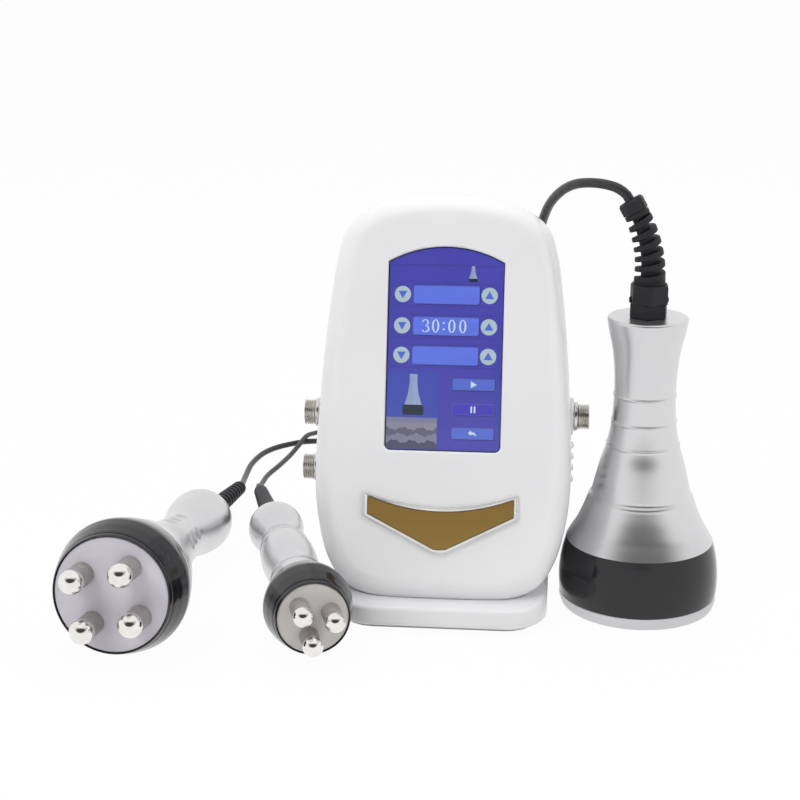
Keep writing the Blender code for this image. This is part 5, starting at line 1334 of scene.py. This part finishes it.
def coil_path(middle, turns, start, way, radius, loop_points=48):
    """One unbroken line that spirals in on the table, climbs a layer and spirals out, with straight ends."""
    step = 2 * radius + coil_step_gap
    outer = 11 * radius + step * turns / 4
    path = []
    count = round(turns * loop_points)
    for k in range(count + 1):
        turn = turns * k / count
        angle = start + way * 2 * pi * turn
        reach = outer - step * min(turn, turns - turn)
        climb = min(1, max(0, (turn - turns / 2) * 2 + 0.5))
        last = min(1, max(0, (turn - turns + 0.5) * 2))
        height = radius + step * (3 - 2 * climb) * climb ** 2
        height += (plug_rest - radius - step) * (3 - 2 * last) * last ** 2
        path.append(Vector((middle[0] + reach * cos(angle), middle[1] + reach * sin(angle), height)))
    entry = Vector((-sin(start), cos(start), 0)) * way
    end_angle = start + way * 2 * pi * turns
    leave = Vector((-sin(end_angle), cos(end_angle), 0)) * way
    path.insert(0, path[0] - entry * 2 * radius)
    path.append(path[-1] + leave * 10 * radius)
    return path, entry, leave


def path_length(path):
    """The length of a line through points."""
    return sum((b - a).length for a, b in zip(path, path[1:]))


def even_path(path, step):
    """The same path with points a steady step apart."""
    count = max(2, round(path_length(path) / step))
    spacing = path_length(path) / count
    even = [path[0]]
    travelled = 0.0
    for a, b in zip(path, path[1:]):
        run = (b - a).length
        while travelled + run >= spacing * len(even) and len(even) < count:
            even.append(a.lerp(b, (spacing * len(even) - travelled) / run))
        travelled += run
    return even + [path[-1]]


def corded(name, exit_point, exit_way, route, radius, middle, turns, start, way, bend_end):
    """The cord in one unbroken length with its coil, the plug at its end and the plug's coupling ring."""
    coiled, entry, leave = coil_path(middle, turns, start, way, radius)
    knots = [exit_point + exit_way * radius, *(Vector(point) for point in route),
             coiled[0] - entry * (gap + 2 * radius)]
    path = [exit_point] + even_path(smooth_path(knots), radius) + coiled
    cord = smoothed(tube(name + "_lead", [(point, 1) for point in path], radius, 5), 60)
    cord.data.materials.clear()
    cord.data.materials.append(cord_black)
    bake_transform(cord)
    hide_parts(name + "_cord", name + "_coil")
    across = Vector((-leave.y, leave.x, 0))
    turn = Matrix((across, leave.cross(across), leave)).transposed().to_4x4()
    there = Matrix.Translation(coiled[-1] + leave * gap) @ turn
    plug = lathed(name + "_plug_body", plug_profile, 56, 40, (there,), nickel, "console", "connector_nickel",
                  name + "_plug")
    ring = spun(name + "_knurled_ring", ring_profile, knurls * 4)
    for corner in ring.data.vertices:
        x, y, z = corner.co
        crest = (x * x + y * y) ** 0.5 > knurl_radius - 0.00005
        if crest and round(atan2(y, x) * knurls * 2 / pi) % 4 in (0, 1):
            corner.co.x *= knurl_root_share
            corner.co.y *= knurl_root_share
    fitted(placed(smoothed(ring, 25), there), nickel, name + "_coupling", "connector_nickel",
           name + "_plug_ring")


corded("cavitation", cavitation @ guard_point(1) + guard_direction(1) * gap, guard_direction(1),
       ((0.1039, 0.0017, 0.2582), (0.0998, 0.0035, 0.2604), (0.0944, 0.0063, 0.2615), (0.0886, 0.0103, 0.2617),
        (0.0824, 0.0158, 0.2609), (0.0762, 0.0230, 0.2589), (0.0702, 0.0320, 0.2548), (0.0648, 0.0425, 0.2486),
        (0.0600, 0.0545, 0.2402), (0.0566, 0.0670, 0.2298), (0.0540, 0.0800, 0.2176), (0.0518, 0.0940, 0.2020),
        (0.0500, 0.1080, 0.1815), (0.0492, 0.1190, 0.1580), (0.0492, 0.1280, 0.1320), (0.0498, 0.1345, 0.1060),
        (0.0514, 0.1410, 0.0800), (0.0544, 0.1488, 0.0535), (0.0584, 0.1590, 0.0295), (0.0624, 0.1720, 0.0115),
        (0.0652, 0.1865, 0.0044), (0.0662, 0.1990, 0.0031)), cord_radius,
       middle=(0.030, 0.238), turns=4, start=0.0, way=1, bend_end=(0.0584, 0.1590, 0.0295))
corded("multipolar", *multipolar_exit,
       ((-0.1630, 0.1790, 0.0050), (-0.1650, 0.2030, 0.0024), (-0.1654, 0.2317, 0.0022),
        (-0.1606, 0.2585, 0.0022), (-0.1530, 0.2729, 0.0022), (-0.1424, 0.2836, 0.0022),
        (-0.1322, 0.2903, 0.0022), (-0.1220, 0.2926, 0.0022), (-0.1050, 0.2932, 0.0022),
        (-0.0850, 0.2922, 0.0022)), multipolar_cord_radius,
       middle=(-0.055, 0.262), turns=5, start=radians(90), way=-1, bend_end=(-0.1652, 0.2220, 0.0023))
corded("tripolar", *tripolar_exit,
       ((-0.1483, 0.1640, 0.0085), (-0.1496, 0.1830, 0.0030), (-0.1489, 0.2060, 0.0020),
        (-0.1437, 0.2308, 0.0020), (-0.1389, 0.2560, 0.0023), (-0.1348, 0.2745, 0.0048),
        (-0.1312, 0.2905, 0.0070), (-0.1262, 0.3060, 0.0048), (-0.1180, 0.3230, 0.0023)), tripolar_cord_radius,
       middle=(-0.084, 0.348), turns=5.25, start=radians(180), way=-1, bend_end=(-0.1312, 0.2905, 0.0070))

# Table, light and camera
# A plain white table and surround, a large soft light at the upper left, weaker ones on the right and above,
# and the camera at the photograph's place, nearly level with the console and about a metre away.
floor_half = 20.0
bpy.ops.object.select_all(action='DESELECT')
bpy.ops.mesh.primitive_plane_add(size=2 * floor_half)
table = bpy.context.object
table.name = "white_table"
table.location.z = -0.0002


def background_share(tree):
    """One where the eye, a reflection or a view through glass meets the background, else nothing."""
    path = tree.nodes.new("ShaderNodeLightPath").outputs
    seen = path["Is Camera Ray"]
    for kind in ("Is Glossy Ray", "Is Transmission Ray"):
        seen = worked(tree, 'MAXIMUM', seen, path[kind])
    return seen


table_white, tree, shader = new_material("table_white")
table_glow_share = 0.965
feed(tree, shader, {"Base Color": (0.90, 0.90, 0.90, 1), "Roughness": 0.7})
glow = fed(tree, "ShaderNodeEmission", {"Color": (1, 1, 1, 1)})
share = worked(tree, 'MULTIPLY', background_share(tree), table_glow_share)
blend = fed(tree, "ShaderNodeMixShader", {"Fac": share, 1: shader.outputs[0], 2: glow})
feed(tree, tree.nodes["Material Output"], {"Surface": blend})
table.data.materials.append(table_white)
world = bpy.data.worlds.new("white_surround")
bpy.context.scene.world = world
world.use_nodes = True
tree = world.node_tree
# The part of the surround that gives the silver and the balls their dark reflections, in front only
dark_middle = (0.06, 0, 0.52)
dark_half_width = 0.80
dark_half_height = 0.34
where = fed(tree, "ShaderNodeTexCoord", {}, "Generated")
apart = fed(tree, "ShaderNodeVectorMath", {0: where, 1: dark_middle}, operation='SUBTRACT')
shaped = fed(tree, "ShaderNodeVectorMath", {0: apart, 1: (1 / dark_half_width, 0, 1 / dark_half_height)},
             operation='MULTIPLY')
off_middle = fed(tree, "ShaderNodeVectorMath", {0: shaped}, "Value", 'LENGTH')
ahead = fed(tree, "ShaderNodeSeparateXYZ", {0: where}, "Y")
reach = worked(tree, 'ADD', off_middle, worked(tree, 'GREATER_THAN', ahead, 0))
dim = fed(tree, "ShaderNodeMapRange", {"Value": reach, "From Min": 0.62, "From Max": 1.15, "To Min": 0.06,
                                       "To Max": 1.0})
dim.node.interpolation_type = 'SMOOTHSTEP'
level = fed(tree, "ShaderNodeMix", {"Factor": background_share(tree), "A": 0.55, "B": 1.0}, "Result")
eye = fed(tree, "ShaderNodeLightPath", {}, "Is Camera Ray")
lift = worked(tree, 'MAXIMUM', worked(tree, 'MULTIPLY', level, dim), eye)
feed(tree, tree.nodes["Background"], {"Color": (1, 1, 1, 1), "Strength": lift})


def soft_light(name, place, size, watts, aim=(0, 0, 0.1)):
    """A square soft light that faces a point."""
    lamp = bpy.data.lights.new(name, 'AREA')
    lamp.shape = 'SQUARE'
    lamp.size = size
    lamp.energy = watts
    piece = bpy.data.objects.new(name, lamp)
    bpy.context.collection.objects.link(piece)
    piece.visible_glossy = False
    piece.location = place
    piece.rotation_euler = (Vector(aim) - Vector(place)).to_track_quat('-Z', 'Y').to_euler()
    return piece


soft_light("key_light", (-0.9, -0.9, 1.3), size=0.9, watts=11)
soft_light("fill_light", (1.2, -0.7, 0.8), size=0.8, watts=6)
soft_light("top_light", (0, 0.3, 1.6), size=1.2, watts=10)
eye_place = Vector((0.06903, -1.03309, 0.437))
eye_way = Vector((-0.09016, 0.95377, -0.28669))
lens = bpy.data.cameras.new("camera")
lens.sensor_width = 36
lens.lens = 78.75
camera = bpy.data.objects.new("camera", lens)
bpy.context.collection.objects.link(camera)
camera.location = eye_place
camera.rotation_euler = eye_way.to_track_quat('-Z', 'Y').to_euler()
bpy.context.scene.camera = camera
bpy.context.scene.view_settings.view_transform = 'Standard'
